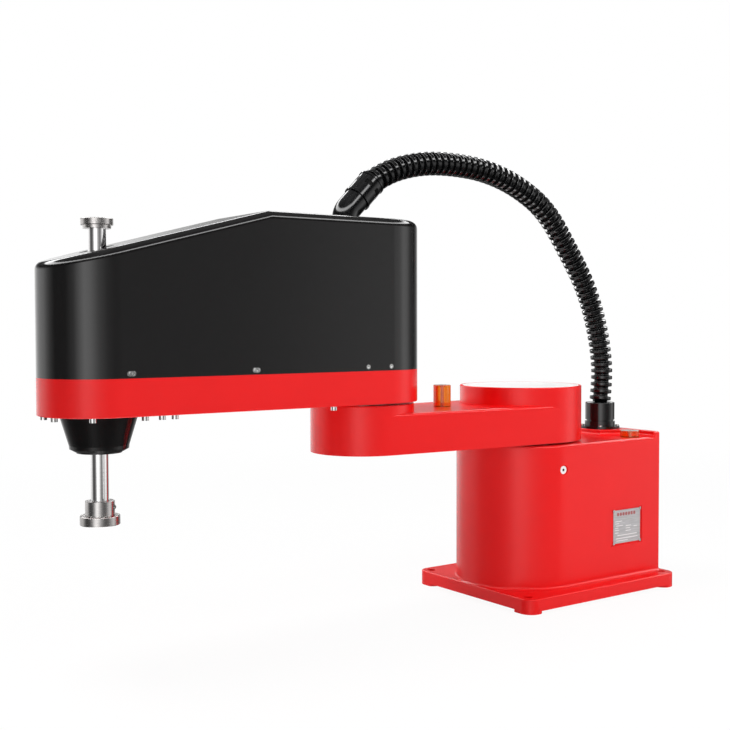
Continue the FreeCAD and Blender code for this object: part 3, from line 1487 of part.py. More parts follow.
def main():
    os.makedirs("parts", exist_ok=True)
    pieces = {
        "base_casting": base_casting(),
        "base_bottom_cover": base_bottom_cover(),
        "base_bottom_screws": base_bottom_screws(),
        "connector_panel": connector_panel(),
        "panel_screws": panel_screws(),
        "power_connector": power_connector(),
        "encoder_connector": encoder_connector(),
        "signal_connector": signal_connector(),
        "air_fittings": air_fittings(),
        "nameplate": nameplate(),
        "nameplate_pins": nameplate_pins(),
        "side_plug": side_plug(),
        "j1_stop_bumpers": j1_stop_bumpers(),
        "bumper_screws": bumper_screws(),
        "j1_reducer": j1_reducer(),
        "j1_reducer_screws": j1_reducer_screws(),
        "j1_motor": j1_motor(),
        "hose_gland": hose_gland(),
        "gland_locknut": gland_locknut(),
        "gland_screws": gland_screws(),
        "link_1_casting": link_1_casting(),
        "link_1_bottom_cover": link_1_bottom_cover(),
        "j1_output_hub": j1_output_hub(),
        "j1_output_screws": j1_output_screws(),
        "j1_cap": j1_cap(),
        "j2_stop_bumper": j2_stop_bumper(),
        "j2_stop_screw": j2_stop_screw(),
        "j2_output_hub": j2_output_hub(),
        "j2_output_screws": j2_output_screws(),
        "cable_hose": cable_hose(),
        "forearm_casting": forearm_casting(),
        "forearm_cover": forearm_cover(),
        "cover_screws": cover_screws(),
        "rim_bolts": rim_bolts(),
        "j2_reducer": j2_reducer(),
        "j2_reducer_screws": j2_reducer_screws(),
        "j2_motor": j2_motor(),
        "j3_bracket": j3_bracket(),
        "j4_bracket": j4_bracket(),
        "bracket_screws": bracket_screws(),
        "j3_motor": j3_motor(),
        "j4_motor": j4_motor(),
        "j3_belt": j3_belt(),
        "j4_belt": j4_belt(),
        "spline_housing": spline_housing(),
        "spline_housing_screws": spline_housing_screws(),
        "cone_skirt": cone_skirt(),
        "skirt_screws": skirt_screws(),
        "elbow_fitting": elbow_fitting(),
        "elbow_screws": elbow_screws(),
        "elbow_nut": elbow_nut(),
        "spline_nut": spline_nut(),
        "spline_pulley": spline_pulley(),
        "ball_nut": ball_nut(),
        "ball_nut_pulley": ball_nut_pulley(),
        "j3_motor_pulley": motor_pulley(j3_x - j3_motor_back, ball_pulley_z, j3_bracket_z),
        "j4_motor_pulley": motor_pulley(j3_x - j4_motor_back, spline_pulley_z, j4_bracket_z),
        "tool_shaft": tool_shaft(),
        "tool_flange": tool_flange(),
        "top_collar": top_collar(),
    }
    for name, shape in pieces.items():
        save(name, shape)
        if not shape.isValid():
            print("not valid:", name)


main()
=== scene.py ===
import json
import math

import bmesh
import bpy
from mathutils import Matrix, Vector


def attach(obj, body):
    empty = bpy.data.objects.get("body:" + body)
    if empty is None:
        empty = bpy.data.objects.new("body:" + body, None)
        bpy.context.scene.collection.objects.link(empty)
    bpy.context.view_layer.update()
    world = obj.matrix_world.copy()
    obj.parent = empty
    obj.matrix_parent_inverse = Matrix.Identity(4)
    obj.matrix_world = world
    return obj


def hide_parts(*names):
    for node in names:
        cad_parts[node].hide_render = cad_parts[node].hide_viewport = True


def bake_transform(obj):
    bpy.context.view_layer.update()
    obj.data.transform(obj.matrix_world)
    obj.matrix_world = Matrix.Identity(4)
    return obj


# The looks of a four-axis SCARA robot arm: red castings, a gloss black forearm cover, a
# ribbed black cable hose, bright steel shaft and fasteners. Everything is in metres, in
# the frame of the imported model: +X along the straight arm, +Z up.

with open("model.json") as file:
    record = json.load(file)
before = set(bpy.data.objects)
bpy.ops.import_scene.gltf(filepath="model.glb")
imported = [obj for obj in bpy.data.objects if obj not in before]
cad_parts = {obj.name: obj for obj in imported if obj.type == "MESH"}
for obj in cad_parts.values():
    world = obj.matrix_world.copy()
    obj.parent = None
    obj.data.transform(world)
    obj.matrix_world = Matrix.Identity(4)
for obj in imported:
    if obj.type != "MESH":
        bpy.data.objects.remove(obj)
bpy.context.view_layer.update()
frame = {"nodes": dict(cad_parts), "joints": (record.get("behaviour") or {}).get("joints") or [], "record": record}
NODES = frame["nodes"]

# The tool's axis, from the frame
TOOL_AXIS_X = frame["joints"][2]["pos_m"][0]

# Camera, fitted to the photograph's 730 by 730 frame
IMAGE_SIZE = 730.0
FOCAL_PIXELS = 1117.5
MIDDLE_ROW = 365.85
SENSOR_MM = 36.0
CAMERA_AT = Vector((1.4647, 1.4845, 0.4829))
CAMERA_YAW = math.radians(144.64)
CAMERA_PITCH = math.radians(2.13)
CAMERA_ROLL = math.radians(-0.15)

# Hose: the route's control points, from the elbow's nut to the gland
HOSE_ROUTE = [
    (0.39713, 0.71417), (0.374, 0.728), (0.336, 0.743), (0.284, 0.754), (0.222, 0.7565),
    (0.152, 0.7515), (0.078, 0.731), (0.004, 0.691), (-0.054, 0.618), (-0.102, 0.551),
    (-0.132, 0.477), (-0.146, 0.408), (-0.145, 0.364), (-0.141, 0.333),
]
HOSE_DIAMETER = 0.040
HOSE_ROOT_SHARE = 0.68          # radius between two ribs, of the ribs' own
HOSE_PITCH = 0.0132
HOSE_SIDES = 40
HOSE_SPLIT_X = 0.146


def forward_direction():
    level = math.cos(CAMERA_PITCH)
    return Vector((-math.sin(CAMERA_YAW) * level, math.cos(CAMERA_YAW) * level,
                   -math.sin(CAMERA_PITCH)))


def make_camera():
    data = bpy.data.cameras.new("camera")
    data.sensor_width = SENSOR_MM
    data.lens = SENSOR_MM * FOCAL_PIXELS / IMAGE_SIZE
    data.shift_y = (MIDDLE_ROW - IMAGE_SIZE / 2) / IMAGE_SIZE
    camera = bpy.data.objects.new("camera", data)
    forward = forward_direction()
    right = forward.cross(Vector((0, 0, 1))).normalized()
    up = right.cross(forward)
    cos_roll, sin_roll = math.cos(CAMERA_ROLL), math.sin(CAMERA_ROLL)
    across = cos_roll * right + sin_roll * up
    upward = cos_roll * up - sin_roll * right
    turn = Matrix((across, upward, -forward)).transposed().to_4x4()
    camera.matrix_world = Matrix.Translation(CAMERA_AT) @ turn
    bpy.context.scene.collection.objects.link(camera)
    bpy.context.scene.camera = camera


# Materials

def add_node(material, kind, settings=None, values=None):
    made = material.node_tree.nodes.new(kind)
    for key, value in (settings or {}).items():
        setattr(made, key, value)
    for key, value in (values or {}).items():
        made.inputs[key].default_value = value
    return made


def join(material, output, target):
    material.node_tree.links.new(output, target)


def principled(name, color, roughness, metallic=0.0, values=None):
    material = bpy.data.materials.new(name)
    material.use_nodes = True
    shader = material.node_tree.nodes["Principled BSDF"]
    shader.inputs["Base Color"].default_value = (*color, 1)
    shader.inputs["Roughness"].default_value = roughness
    shader.inputs["Metallic"].default_value = metallic
    for key, value in (values or {}).items():
        shader.inputs[key].default_value = value
    return material, shader


def object_noise(material, scale, detail=4.0, stretch=(1, 1, 1), roughness=0.55):
    coords = add_node(material, "ShaderNodeTexCoord")
    mapping = add_node(material, "ShaderNodeMapping", values={"Scale": stretch})
    noise = add_node(material, "ShaderNodeTexNoise",
                     values={"Scale": scale, "Detail": detail, "Roughness": roughness})
    join(material, coords.outputs["Object"], mapping.inputs["Vector"])
    join(material, mapping.outputs["Vector"], noise.inputs["Vector"])
    return noise.outputs["Fac"]


def vary_color(material, shader, low, high, scale, detail=3.0, stretch=(1, 1, 1)):
    ramp = add_node(material, "ShaderNodeValToRGB")
    ramp.color_ramp.elements[0].position = 0.35
    ramp.color_ramp.elements[1].position = 0.65
    ramp.color_ramp.elements[0].color = (*low, 1)
    ramp.color_ramp.elements[1].color = (*high, 1)
    join(material, object_noise(material, scale, detail, stretch), ramp.inputs["Fac"])
    join(material, ramp.outputs["Color"], shader.inputs["Base Color"])


def vary_roughness(material, shader, low, high, scale, detail=3.0, stretch=(1, 1, 1)):
    spread = add_node(material, "ShaderNodeMapRange",
                      values={"From Min": 0.3, "From Max": 0.7, "To Min": low, "To Max": high})
    join(material, object_noise(material, scale, detail, stretch), spread.inputs["Value"])
    join(material, spread.outputs["Result"], shader.inputs["Roughness"])


def add_bump(material, shader, height, strength, distance):
    bump = add_node(material, "ShaderNodeBump", values={"Strength": strength, "Distance": distance})
    join(material, height, bump.inputs["Height"])
    join(material, bump.outputs["Normal"], shader.inputs["Normal"])


def red_paint():
    """Powder coat over cast aluminium: satin gloss with a fine orange peel."""
    material, shader = principled("red_paint", (0.86, 0.0075, 0.0085), 0.24, values={
        "Specular IOR Level": 0.36})
    vary_color(material, shader, (0.85, 0.0070, 0.0080), (0.88, 0.0082, 0.0092), 5)
    vary_roughness(material, shader, 0.22, 0.26, 6)
    add_bump(material, shader, object_noise(material, 220, 1.0), 0.015, 0.0003)
    return material


def black_gloss():
    material, shader = principled("black_gloss", (0.0080, 0.0076, 0.0078), 0.11)
    vary_color(material, shader, (0.0076, 0.0072, 0.0074), (0.0086, 0.0081, 0.0082), 7)
    vary_roughness(material, shader, 0.10, 0.13, 8)
    add_bump(material, shader, object_noise(material, 200, 1.0), 0.01, 0.0003)
    return material


def black_nylon():
    material, shader = principled("black_nylon", (0.006, 0.006, 0.0065), 0.12)
    vary_color(material, shader, (0.005, 0.005, 0.0055), (0.0075, 0.0075, 0.008), 30)
    vary_roughness(material, shader, 0.10, 0.15, 40)
    add_bump(material, shader, object_noise(material, 500, 1.0), 0.02, 0.0002)
    return material


def hose_black():
    material, shader = principled("hose_black", (0.0045, 0.0048, 0.0052), 0.06, values={
        "Specular IOR Level": 0.5})
    vary_color(material, shader, (0.0040, 0.0042, 0.0046), (0.0056, 0.0056, 0.0060), 40)
    vary_roughness(material, shader, 0.05, 0.09, 60)
    add_bump(material, shader, object_noise(material, 500, 1.0), 0.02, 0.0002)
    return material


def shaft_steel():
    """Ground and hard chromed: fine lines run round the shaft."""
    material, shader = principled("shaft_steel", (0.78, 0.77, 0.77), 0.12, metallic=1.0)
    vary_color(material, shader, (0.74, 0.73, 0.73), (0.81, 0.80, 0.80), 20, stretch=(1, 1, 60))
    vary_roughness(material, shader, 0.09, 0.17, 30, stretch=(1, 1, 80))
    add_bump(material, shader, object_noise(material, 30, 3.0, (1, 1, 120)), 0.03, 0.0002)
    return material


def turned_steel():
    """Turned on a lathe: rings round the tool's axis."""
    material, shader = principled("turned_steel", (0.62, 0.61, 0.60), 0.24, metallic=1.0)
    coords = add_node(material, "ShaderNodeTexCoord")
    mapping = add_node(material, "ShaderNodeMapping", values={"Location": (-TOOL_AXIS_X, 0, 0)})
    wave = add_node(material, "ShaderNodeTexWave", {"wave_type": "RINGS", "rings_direction": "Z"},
                    {"Scale": 700, "Distortion": 1.5, "Detail": 2.0})
    join(material, coords.outputs["Object"], mapping.inputs["Vector"])
    join(material, mapping.outputs["Vector"], wave.inputs["Vector"])
    vary_color(material, shader, (0.52, 0.50, 0.49), (0.62, 0.60, 0.59), 35)
    vary_roughness(material, shader, 0.18, 0.30, 60, stretch=(1, 1, 20))
    add_bump(material, shader, wave.outputs["Fac"], 0.05, 0.0002)
    return material


def screw_steel():
    material, shader = principled("screw_steel", (0.72, 0.72, 0.71), 0.22, metallic=1.0)
    vary_color(material, shader, (0.64, 0.64, 0.63), (0.78, 0.78, 0.77), 150)
    vary_roughness(material, shader, 0.16, 0.30, 400)
    return material


def plate_aluminium():
    material, shader = principled("plate_aluminium", (0.62, 0.63, 0.65), 0.36, metallic=1.0)
    vary_color(material, shader, (0.57, 0.58, 0.60), (0.67, 0.68, 0.70), 50, stretch=(1, 12, 1))
    vary_roughness(material, shader, 0.30, 0.44, 90, stretch=(1, 20, 1))
    add_bump(material, shader, object_noise(material, 700, 2.0), 0.05, 0.0002)
    return material


def nameplate_silver():
    """Brushed along its length."""
    material, shader = principled("nameplate_silver", (0.60, 0.60, 0.61), 0.34, metallic=0.6)
    vary_color(material, shader, (0.52, 0.52, 0.53), (0.66, 0.66, 0.67), 40, stretch=(1, 1, 30))
    vary_roughness(material, shader, 0.28, 0.42, 60, stretch=(1, 1, 40))
    add_bump(material, shader, object_noise(material, 60, 2.0, (1, 1, 40)), 0.05, 0.0001)
    return material


def amber_polyurethane():
    material, shader = principled("amber_polyurethane", (0.93, 0.26, 0.02), 0.05, values={
        "Transmission Weight": 0.82, "IOR": 1.5})
    vary_color(material, shader, (0.80, 0.16, 0.008), (0.97, 0.34, 0.03), 60, stretch=(3, 3, 0.5))
    vary_roughness(material, shader, 0.03, 0.08, 90)
    return material


def cap_white():
    material, shader = principled("cap_white", (0.95, 0.95, 0.95), 0.30)
    vary_color(material, shader, (0.94, 0.94, 0.935), (0.965, 0.965, 0.96), 25)
    vary_roughness(material, shader, 0.28, 0.34, 70)
    return material


def motor_casing():
    material, shader = principled("motor_casing", (0.05, 0.05, 0.055), 0.42, metallic=0.3)
    vary_color(material, shader, (0.04, 0.04, 0.045), (0.065, 0.065, 0.07), 50)
    add_bump(material, shader, object_noise(material, 800, 2.0), 0.12, 0.0003)
    return material


def belt_rubber():
    material, shader = principled("belt_rubber", (0.018, 0.018, 0.018), 0.62)
    vary_color(material, shader, (0.014, 0.014, 0.014), (0.026, 0.026, 0.026), 200)
    add_bump(material, shader, object_noise(material, 1600, 2.0), 0.2, 0.0003)
    return material


def fitting_brass():
    material, shader = principled("fitting_brass", (0.78, 0.58, 0.26), 0.26, metallic=1.0)
    vary_color(material, shader, (0.70, 0.51, 0.22), (0.82, 0.62, 0.30), 120)
    vary_roughness(material, shader, 0.20, 0.34, 200)
    return material


def plate_ink():
    material, shader = principled("plate_ink", (0.95, 0.95, 0.95), 0.5)
    vary_color(material, shader, (0.92, 0.92, 0.92), (0.97, 0.97, 0.97), 300)
    return material


def header_ink():
    material, shader = principled("header_ink", (0.42, 0.12, 0.12), 0.5)
    vary_color(material, shader, (0.36, 0.10, 0.10), (0.50, 0.16, 0.16), 300)
    return material


# Painted shade: near-black with little gloss, standing in for the dark inside of openings and recesses
def painted_shade_black():
    material, shader = principled("painted_shade_black", (0.0012, 0.0012, 0.0012), 0.5, values={
        "Specular IOR Level": 0.1})
    vary_color(material, shader, (0.0010, 0.0010, 0.0010), (0.0016, 0.0016, 0.0016), 300)
    return material


def dress_cad_nodes():
    """Every node keeps its shape and takes the material of its slot in the record."""
    finishes = {
        "red_casting": red_paint(),
        "black_cover": black_gloss(),
        "black_nylon": black_nylon(),
        "hose_black": hose_black(),
        "amber_polyurethane": amber_polyurethane(),
        "white_cap": cap_white(),
        "nameplate_silver": nameplate_silver(),
        "plate_aluminium": plate_aluminium(),
        "steel_screws": screw_steel(),
        "machined_steel": turned_steel(),
        "shaft_steel": shaft_steel(),
        "motor_casing": motor_casing(),
        "belt_rubber": belt_rubber(),
        "fitting_brass": fitting_brass(),
    }
    for part in frame["record"]["subparts"]:
        node = NODES[part["node"]]
        node.data.materials.clear()
        node.data.materials.append(finishes[part["material_slot"]])
    return finishes


# Shapes

def mesh_object(name, bm, material, smooth=True):
    mesh = bpy.data.meshes.new(name)
    bm.to_mesh(mesh)
    bm.free()
    for face in mesh.polygons:
        face.use_smooth = smooth
    mesh.materials.append(material)
    made = bpy.data.objects.new(name, mesh)
    bpy.context.scene.collection.objects.link(made)
    return made


def hose_line():
    """Points along the hose's centre line, read from the route's smooth spline."""
    curve = bpy.data.curves.new("hose_route", "CURVE")
    curve.dimensions = "3D"
    curve.resolution_u = 24
    spline = curve.splines.new("NURBS")
    spline.points.add(len(HOSE_ROUTE) - 1)
    for point, (x, z) in zip(spline.points, HOSE_ROUTE):
        point.co = (x, 0, z, 1)
    spline.order_u = 3
    spline.use_endpoint_u = True
    route = bpy.data.objects.new("hose_route", curve)
    mesh = bpy.data.meshes.new_from_object(route)
    points = [vertex.co.copy() for vertex in mesh.vertices]
    bpy.data.meshes.remove(mesh)
    bpy.data.objects.remove(route)
    bpy.data.curves.remove(curve)
    return points


def running_lengths(points):
    lengths = [0.0]
    for a, b in zip(points, points[1:]):
        lengths.append(lengths[-1] + (b - a).length)
    return lengths


def place_along(points, lengths, reach):
    """The point and the direction at a distance along the line."""
    index = 0
    while index < len(points) - 2 and lengths[index + 1] < reach:
        index += 1
    span = lengths[index + 1] - lengths[index]
    share = (reach - lengths[index]) / span
    before = points[max(index - 1, 0)]
    after = points[min(index + 2, len(points) - 1)]
    return points[index].lerp(points[index + 1], share), (after - before).normalized()


# One rib and one groove: distance along the pitch, and radius as a share of the rib's
RIB_PROFILE = [
    (0.00, HOSE_ROOT_SHARE), (0.05, HOSE_ROOT_SHARE), (0.10, 0.80), (0.15, 0.94), (0.18, 0.985),
    (0.22, 1.0), (0.25, 1.0), (0.40, 1.0), (0.55, 1.0), (0.58, 1.0), (0.62, 0.985), (0.65, 0.94),
    (0.70, 0.80), (0.75, HOSE_ROOT_SHARE),
]


def ribbed_tube(name, points, start, end, material):
    """A ribbed tube along part of a line in the arm's plane; returns it and its centre points."""
    lengths = running_lengths(points)
    radius = HOSE_DIAMETER / 2
    bm = bmesh.new()
    rings, centres = [], []
    count = round((end - start) / HOSE_PITCH)
    pitch = (end - start) / count
    steps = [(rib + share) * pitch for rib in range(count) for share, _ in RIB_PROFILE] + [end - start]
    sizes = [size for _ in range(count) for _, size in RIB_PROFILE] + [HOSE_ROOT_SHARE]
    for step, size in zip(steps, sizes):
        centre, way = place_along(points, lengths, start + step)
        side = Vector((0, 1, 0))
        lift = way.cross(side).normalized()
        ring = []
        for corner in range(HOSE_SIDES):
            turn = 2 * math.pi * corner / HOSE_SIDES
            offset = side * math.cos(turn) + lift * math.sin(turn)
            ring.append(bm.verts.new(centre + offset * radius * size))
        rings.append(ring)
        centres.append(centre)
    for low, high in zip(rings, rings[1:]):
        for corner in range(HOSE_SIDES):
            after = (corner + 1) % HOSE_SIDES
            bm.faces.new((low[corner], low[after], high[after], high[corner]))
    bm.faces.new(list(reversed(rings[0])))
    bm.faces.new(rings[-1])
    bmesh.ops.recalc_face_normals(bm, faces=bm.faces)
    return mesh_object(name, bm, material), centres


def make_hose(material):
    """The hose crosses both arm joints, so it is two tubes that meet over the first link."""
    points = hose_line()
    lengths = running_lengths(points)
    split = min(range(len(points)), key=lambda index: abs(points[index].x - HOSE_SPLIT_X))
    middle = lengths[split]
    front, front_line = ribbed_tube("hose_front", points, 0.0, middle, material)
    rear, rear_line = ribbed_tube("hose_rear", points, middle, lengths[-1], material)
    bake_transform(front)
    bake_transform(rear)
    for half in (front, rear):
        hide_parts("cable_hose")


# Print on the nameplate: generic rules only, each as its left end, top, length and height in
# millimetres from the plate's upper left corner, as it is seen from outside
PLATE_LEFT_X = -0.0559
PLATE_TOP_Z = 0.146
PLATE_FACE_Y = 0.113
PRINT_HEIGHT = 0.00012
HEADER_BLOCKS = [(9 + 7.2 * step, 4.5, 5.6, 6.0) for step in range(7)]
WHITE_RULES = [
    (4, 19.5, 19, 1.4), (4, 23.5, 11, 1.2), (7, 27.5, 18, 1.4), (4, 31.5, 9, 1.2), (4, 35.5, 11, 1.2),
    (4, 40.0, 9, 1.4), (32, 29.0, 14, 1.3), (32, 33.5, 12, 1.3), (32, 38.0, 14, 1.3), (53, 31.5, 9, 1.3),
    (10, 45.0, 52, 1.5), (6, 50.5, 58, 1.5), (8, 55.0, 30, 1.2),
]


def printed_rules(name, rules, material):
    """Thin raised print, with cut corners, on the nameplate's face."""
    bm = bmesh.new()
    for left, top, length, height in rules:
        cut = 0.22 * height
        outline = [(cut, 0), (length - cut, 0), (length, cut), (length, height - cut),
                   (length - cut, height), (cut, height), (0, height - cut), (0, cut)]
        faces = []
        for rise in (0.0, PRINT_HEIGHT):
            faces.append([bm.verts.new((PLATE_LEFT_X - (left + across) / 1000, PLATE_FACE_Y + rise,
                                        PLATE_TOP_Z - (top + down) / 1000)) for across, down in outline])
        low, high = faces
        bm.faces.new(high)
        bm.faces.new(list(reversed(low)))
        for index in range(len(low)):
            after = (index + 1) % len(low)
            bm.faces.new((low[index], low[after], high[after], high[index]))
    bmesh.ops.recalc_face_normals(bm, faces=bm.faces)
    made = mesh_object(name, bm, material, smooth=False)
    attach(made, "base")


def make_print():
    printed_rules("nameplate_header", HEADER_BLOCKS, header_ink())
    printed_rules("nameplate_rules", WHITE_RULES, plate_ink())


# Clip windows round the elbow nut's hose end: thin near-black patches of painted shade, for the dark inside of the
# openings
NUT_END = Vector((0.39713, 0, 0.71417))
NUT_WAY = Vector((-1, 0, 1)).normalized()
NUT_RADIUS = 0.0223
WINDOW_COUNT = 6
WINDOW_TURN = math.radians(36)
WINDOW_START = 0.0115           # back from the nut's end
WINDOW_LENGTH = 0.0075
WINDOW_STEPS = 8
WINDOW_RISE = 0.0003


def make_clip_windows(material):
    side = Vector((0, 1, 0))
    lift = NUT_WAY.cross(side).normalized()
    bm = bmesh.new()
    for window in range(WINDOW_COUNT):
        middle = 2 * math.pi * (window + 0.5) / WINDOW_COUNT
        rows = []
        far = WINDOW_START + WINDOW_LENGTH
        for back, rise in ((WINDOW_START, 0), (WINDOW_START, WINDOW_RISE), (far, WINDOW_RISE), (far, 0)):
            row = []
            for step in range(WINDOW_STEPS + 1):
                turn = middle + (step / WINDOW_STEPS - 0.5) * WINDOW_TURN
                out = side * math.cos(turn) + lift * math.sin(turn)
                row.append(bm.verts.new(NUT_END - NUT_WAY * back + out * (NUT_RADIUS + rise)))
            rows.append(row)
        for low, high in zip(rows, rows[1:]):
            for step in range(WINDOW_STEPS):
                bm.faces.new((low[step], low[step + 1], high[step + 1], high[step]))
        for end in (0, WINDOW_STEPS):
            bm.faces.new([row[end] for row in rows])
    bmesh.ops.recalc_face_normals(bm, faces=bm.faces)
    windows = mesh_object("elbow_clip_windows", bm, material, smooth=False)
    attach(windows, "forearm")


# The side plug's hole for its key: a shallow cup coloured near-black as painted shade
PLUG_AT = Vector((0.0715, 0.1136, 0.2303))
PLUG_HOLE_RADIUS = 0.0022
PLUG_HOLE_DEPTH = 0.0008
PLUG_HOLE_DISH = 0.0002         # its middle lies a little deeper
PLUG_HOLE_SIDES = 6


def make_plug_hole(material):
    """A six-sided shallow floor inside the plug's bore, near-black as painted shade for the socket's depth."""
    bm = bmesh.new()
    rings = []
    for back, share in ((PLUG_HOLE_DEPTH, 1.0), (0.0, 1.0), (PLUG_HOLE_DISH, 0.5)):
        ring = []
        for corner in range(PLUG_HOLE_SIDES):
            turn = corner * math.pi * 2 / PLUG_HOLE_SIDES
            reach = PLUG_HOLE_RADIUS * share
            ring.append(bm.verts.new(PLUG_AT + Vector((math.cos(turn) * reach, -back,
                                                       math.sin(turn) * reach))))
        rings.append(ring)
    for low, high in zip(rings, rings[1:]):
        for corner in range(PLUG_HOLE_SIDES):
            after = (corner + 1) % PLUG_HOLE_SIDES
            bm.faces.new((low[corner], low[after], high[after], high[corner]))
    bm.faces.new(rings[0])
    bm.faces.new(rings[-1])
    bmesh.ops.recalc_face_normals(bm, faces=bm.faces)
    hole = mesh_object("plug_hole", bm, material, smooth=False)
    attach(hole, "base")


# Studio

WHITE = (1.0, 1.0, 1.0)


# What shiny surfaces mirror round the horizon: azimuth in degrees from +X towards +Y, and level.
# Two tall softboxes stand at the camera's side of the arm, with dim gaps between them.
SKYLINE = [
    (-180, 0.15), (-160, 0.15), (-150, 0.5), (-140, 0.8), (-130, 0.5), (-120, 0.6), (-108, 1.3),
    (-90, 1.3), (-70, 1.05), (-48, 1.2), (-30, 0.45), (-18, 0.10), (8, 0.12), (24, 0.55), (44, 2.5),
    (54, 2.2), (70, 0.95), (86, 0.38), (100, 0.2), (118, 0.3), (130, 0.8), (140, 1.0), (150, 1.5),
    (160, 1.1), (172, 0.3), (180, 0.15),
]
SKYLINE_TOP = 3.0               # level of the ramp's white
# Share of the skyline that is left at a height, from -1 straight down to 1 straight up
SKYLINE_RISE = [
    (-1.0, 0.08), (-0.40, 0.08), (-0.20, 0.55), (-0.11, 1.0), (0.11, 1.0), (0.20, 0.30), (0.27, 0.06),
    (1.0, 0.08),
]
# A ring of overhead panels, and the lit floor straight below
CANOPY = [
    (-1.0, 0.5), (-0.88, 0.5), (-0.80, 0.0), (0.46, 0.0), (0.50, 1.0), (0.61, 1.0), (0.66, 0.01),
    (1.0, 0.03),
]
CANOPY_LEVEL = 7.5
FILL_LEVEL = 0.38


def world_math(tree, operation, *inputs):
    made = tree.nodes.new("ShaderNodeMath")
    made.operation = operation
    for index, value in enumerate(inputs):
        if isinstance(value, (int, float)):
            made.inputs[index].default_value = value
        else:
            tree.links.new(value, made.inputs[index])
    return made.outputs[0]


def world_ramp(tree, source, stops):
    """A grey ramp through stops given as (position, level)."""
    ramp = tree.nodes.new("ShaderNodeValToRGB")
    elements = ramp.color_ramp.elements
    elements.remove(elements[1])
    for index, (place, level) in enumerate(stops):
        element = elements[0] if index == 0 else elements.new(place)
        element.position = place
        element.color = (level, level, level, 1)
    tree.links.new(source, ramp.inputs["Fac"])
    return ramp.outputs["Color"]


def make_world():
    """White for the camera and glass, a plain fill for matt surfaces, softboxes for shiny ones."""
    world = bpy.data.worlds.new("studio")
    bpy.context.scene.world = world
    world.use_nodes = True
    tree = world.node_tree
    tree.nodes.clear()
    output = tree.nodes.new("ShaderNodeOutputWorld")
    path = tree.nodes.new("ShaderNodeLightPath")
    coords = tree.nodes.new("ShaderNodeTexCoord")
    split = tree.nodes.new("ShaderNodeSeparateXYZ")
    tree.links.new(coords.outputs["Generated"], split.inputs[0])
    turn = world_math(tree, "ARCTAN2", split.outputs["Y"], split.outputs["X"])
    share = world_math(tree, "MULTIPLY_ADD", turn, 1 / (2 * math.pi), 0.5)
    around = world_ramp(tree, share, [(azimuth / 360 + 0.5, level / SKYLINE_TOP)
                                      for azimuth, level in SKYLINE])
    height = world_math(tree, "MULTIPLY_ADD", split.outputs["Z"], 0.5, 0.5)
    rise = world_ramp(tree, height, [(z / 2 + 0.5, level) for z, level in SKYLINE_RISE])
    above = world_ramp(tree, height, [(z / 2 + 0.5, level) for z, level in CANOPY])
    level = world_math(tree, "MULTIPLY", around, rise)
    level = world_math(tree, "MULTIPLY", level, SKYLINE_TOP)
    level = world_math(tree, "MULTIPLY_ADD", above, CANOPY_LEVEL, level)
    mirrored = tree.nodes.new("ShaderNodeBackground")
    tree.links.new(level, mirrored.inputs["Strength"])
    fill = tree.nodes.new("ShaderNodeBackground")
    fill.inputs["Color"].default_value = (*WHITE, 1)
    fill.inputs["Strength"].default_value = FILL_LEVEL
    mirrored.inputs["Color"].default_value = (*WHITE, 1)
    seen = tree.nodes.new("ShaderNodeBackground")
    seen.inputs["Color"].default_value = (*WHITE, 1)
    gloss = tree.nodes.new("ShaderNodeMixShader")
    tree.links.new(path.outputs["Is Glossy Ray"], gloss.inputs["Fac"])
    tree.links.new(fill.outputs[0], gloss.inputs[1])
    tree.links.new(mirrored.outputs[0], gloss.inputs[2])
    final = tree.nodes.new("ShaderNodeMixShader")
    direct = world_math(tree, "MAXIMUM", path.outputs["Is Camera Ray"],
                        path.outputs["Is Transmission Ray"])
    tree.links.new(direct, final.inputs["Fac"])
    tree.links.new(gloss.outputs[0], final.inputs[1])
    tree.links.new(seen.outputs[0], final.inputs[2])
    tree.links.new(final.outputs[0], output.inputs["Surface"])


FLOOR_SIZE = 60.0
FLOOR_NEAR = 0.9                # radius where the floor starts to turn plain white
FLOOR_FAR = 2.6
FLOOR_GLOW = 0.93               # share of plain white near the object; the rest takes its shadow


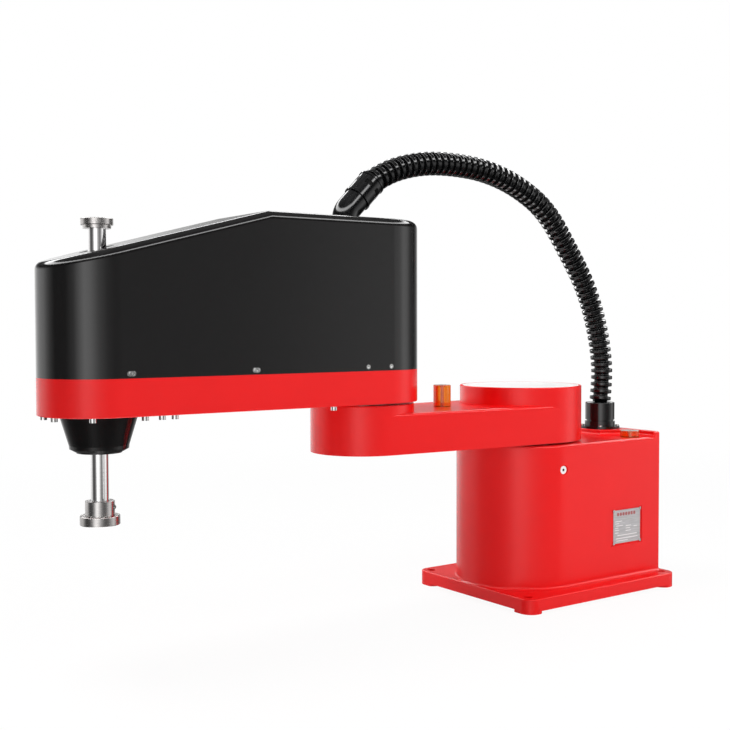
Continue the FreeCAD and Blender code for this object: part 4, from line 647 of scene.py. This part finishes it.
def make_floor():
    bm = bmesh.new()
    bmesh.ops.create_grid(bm, x_segments=1, y_segments=1, size=FLOOR_SIZE / 2)
    material, shader = principled("floor", (0.92, 0.92, 0.92), 0.6, values={"Specular IOR Level": 0.2})
    path = add_node(material, "ShaderNodeLightPath")
    direct = add_node(material, "ShaderNodeMath", {"operation": "MAXIMUM"})
    join(material, path.outputs["Is Camera Ray"], direct.inputs[0])
    join(material, path.outputs["Is Transmission Ray"], direct.inputs[1])
    coords = add_node(material, "ShaderNodeTexCoord")
    reach = add_node(material, "ShaderNodeVectorMath", {"operation": "LENGTH"})
    join(material, coords.outputs["Object"], reach.inputs[0])
    fade = add_node(material, "ShaderNodeMapRange", {"interpolation_type": "SMOOTHSTEP"}, {
        "From Min": FLOOR_NEAR, "From Max": FLOOR_FAR, "To Min": FLOOR_GLOW, "To Max": 1.0})
    join(material, reach.outputs["Value"], fade.inputs["Value"])
    share = add_node(material, "ShaderNodeMath", {"operation": "MULTIPLY"})
    join(material, direct.outputs[0], share.inputs[0])
    join(material, fade.outputs["Result"], share.inputs[1])
    glow = add_node(material, "ShaderNodeEmission")
    mix = add_node(material, "ShaderNodeMixShader")
    join(material, share.outputs[0], mix.inputs["Fac"])
    join(material, shader.outputs[0], mix.inputs[1])
    join(material, glow.outputs[0], mix.inputs[2])
    join(material, mix.outputs[0], material.node_tree.nodes["Material Output"].inputs["Surface"])
    floor = mesh_object("floor", bm, material, smooth=False)
    floor.visible_glossy = False


LIGHTS_AIM = Vector((0.36, 0.0, 0.42))
# Name, azimuth in degrees from +X towards +Y, level distance and height from the aim, width,
# height of the panel, and power
LIGHTS = [
    ("overhead", 90, 0.3, 2.4, 2.6, 1.6, 14),
    ("side_key", 104, 2.8, 0.9, 2.0, 2.0, 19),
    ("high_key", 118, 2.0, 2.1, 0.9, 0.9, 19),
    ("front_top", -30, 1.1, 2.5, 1.0, 1.0, 44),
]


def make_lights():
    """Soft lamps for the matt shading; shiny surfaces mirror the world's softboxes instead."""
    for name, azimuth, distance, height, width, tall, power in LIGHTS:
        data = bpy.data.lights.new(name, "AREA")
        data.shape = "RECTANGLE"
        data.size = width
        data.size_y = tall
        data.energy = power
        light = bpy.data.objects.new(name, data)
        turn = math.radians(azimuth)
        light.location = LIGHTS_AIM + Vector((math.cos(turn) * distance, math.sin(turn) * distance,
                                              height))
        light.rotation_euler = (LIGHTS_AIM - light.location).to_track_quat("-Z", "Y").to_euler()
        light.visible_glossy = False
        bpy.context.scene.collection.objects.link(light)


make_camera()
finishes = dress_cad_nodes()
make_hose(finishes["hose_black"])
make_print()
# Painted shade for the clip windows and for the plug's key hole
black = painted_shade_black()
make_clip_windows(black)
make_plug_hole(black)
make_world()
make_floor()
make_lights()
bpy.context.scene.view_settings.view_transform = "Standard"
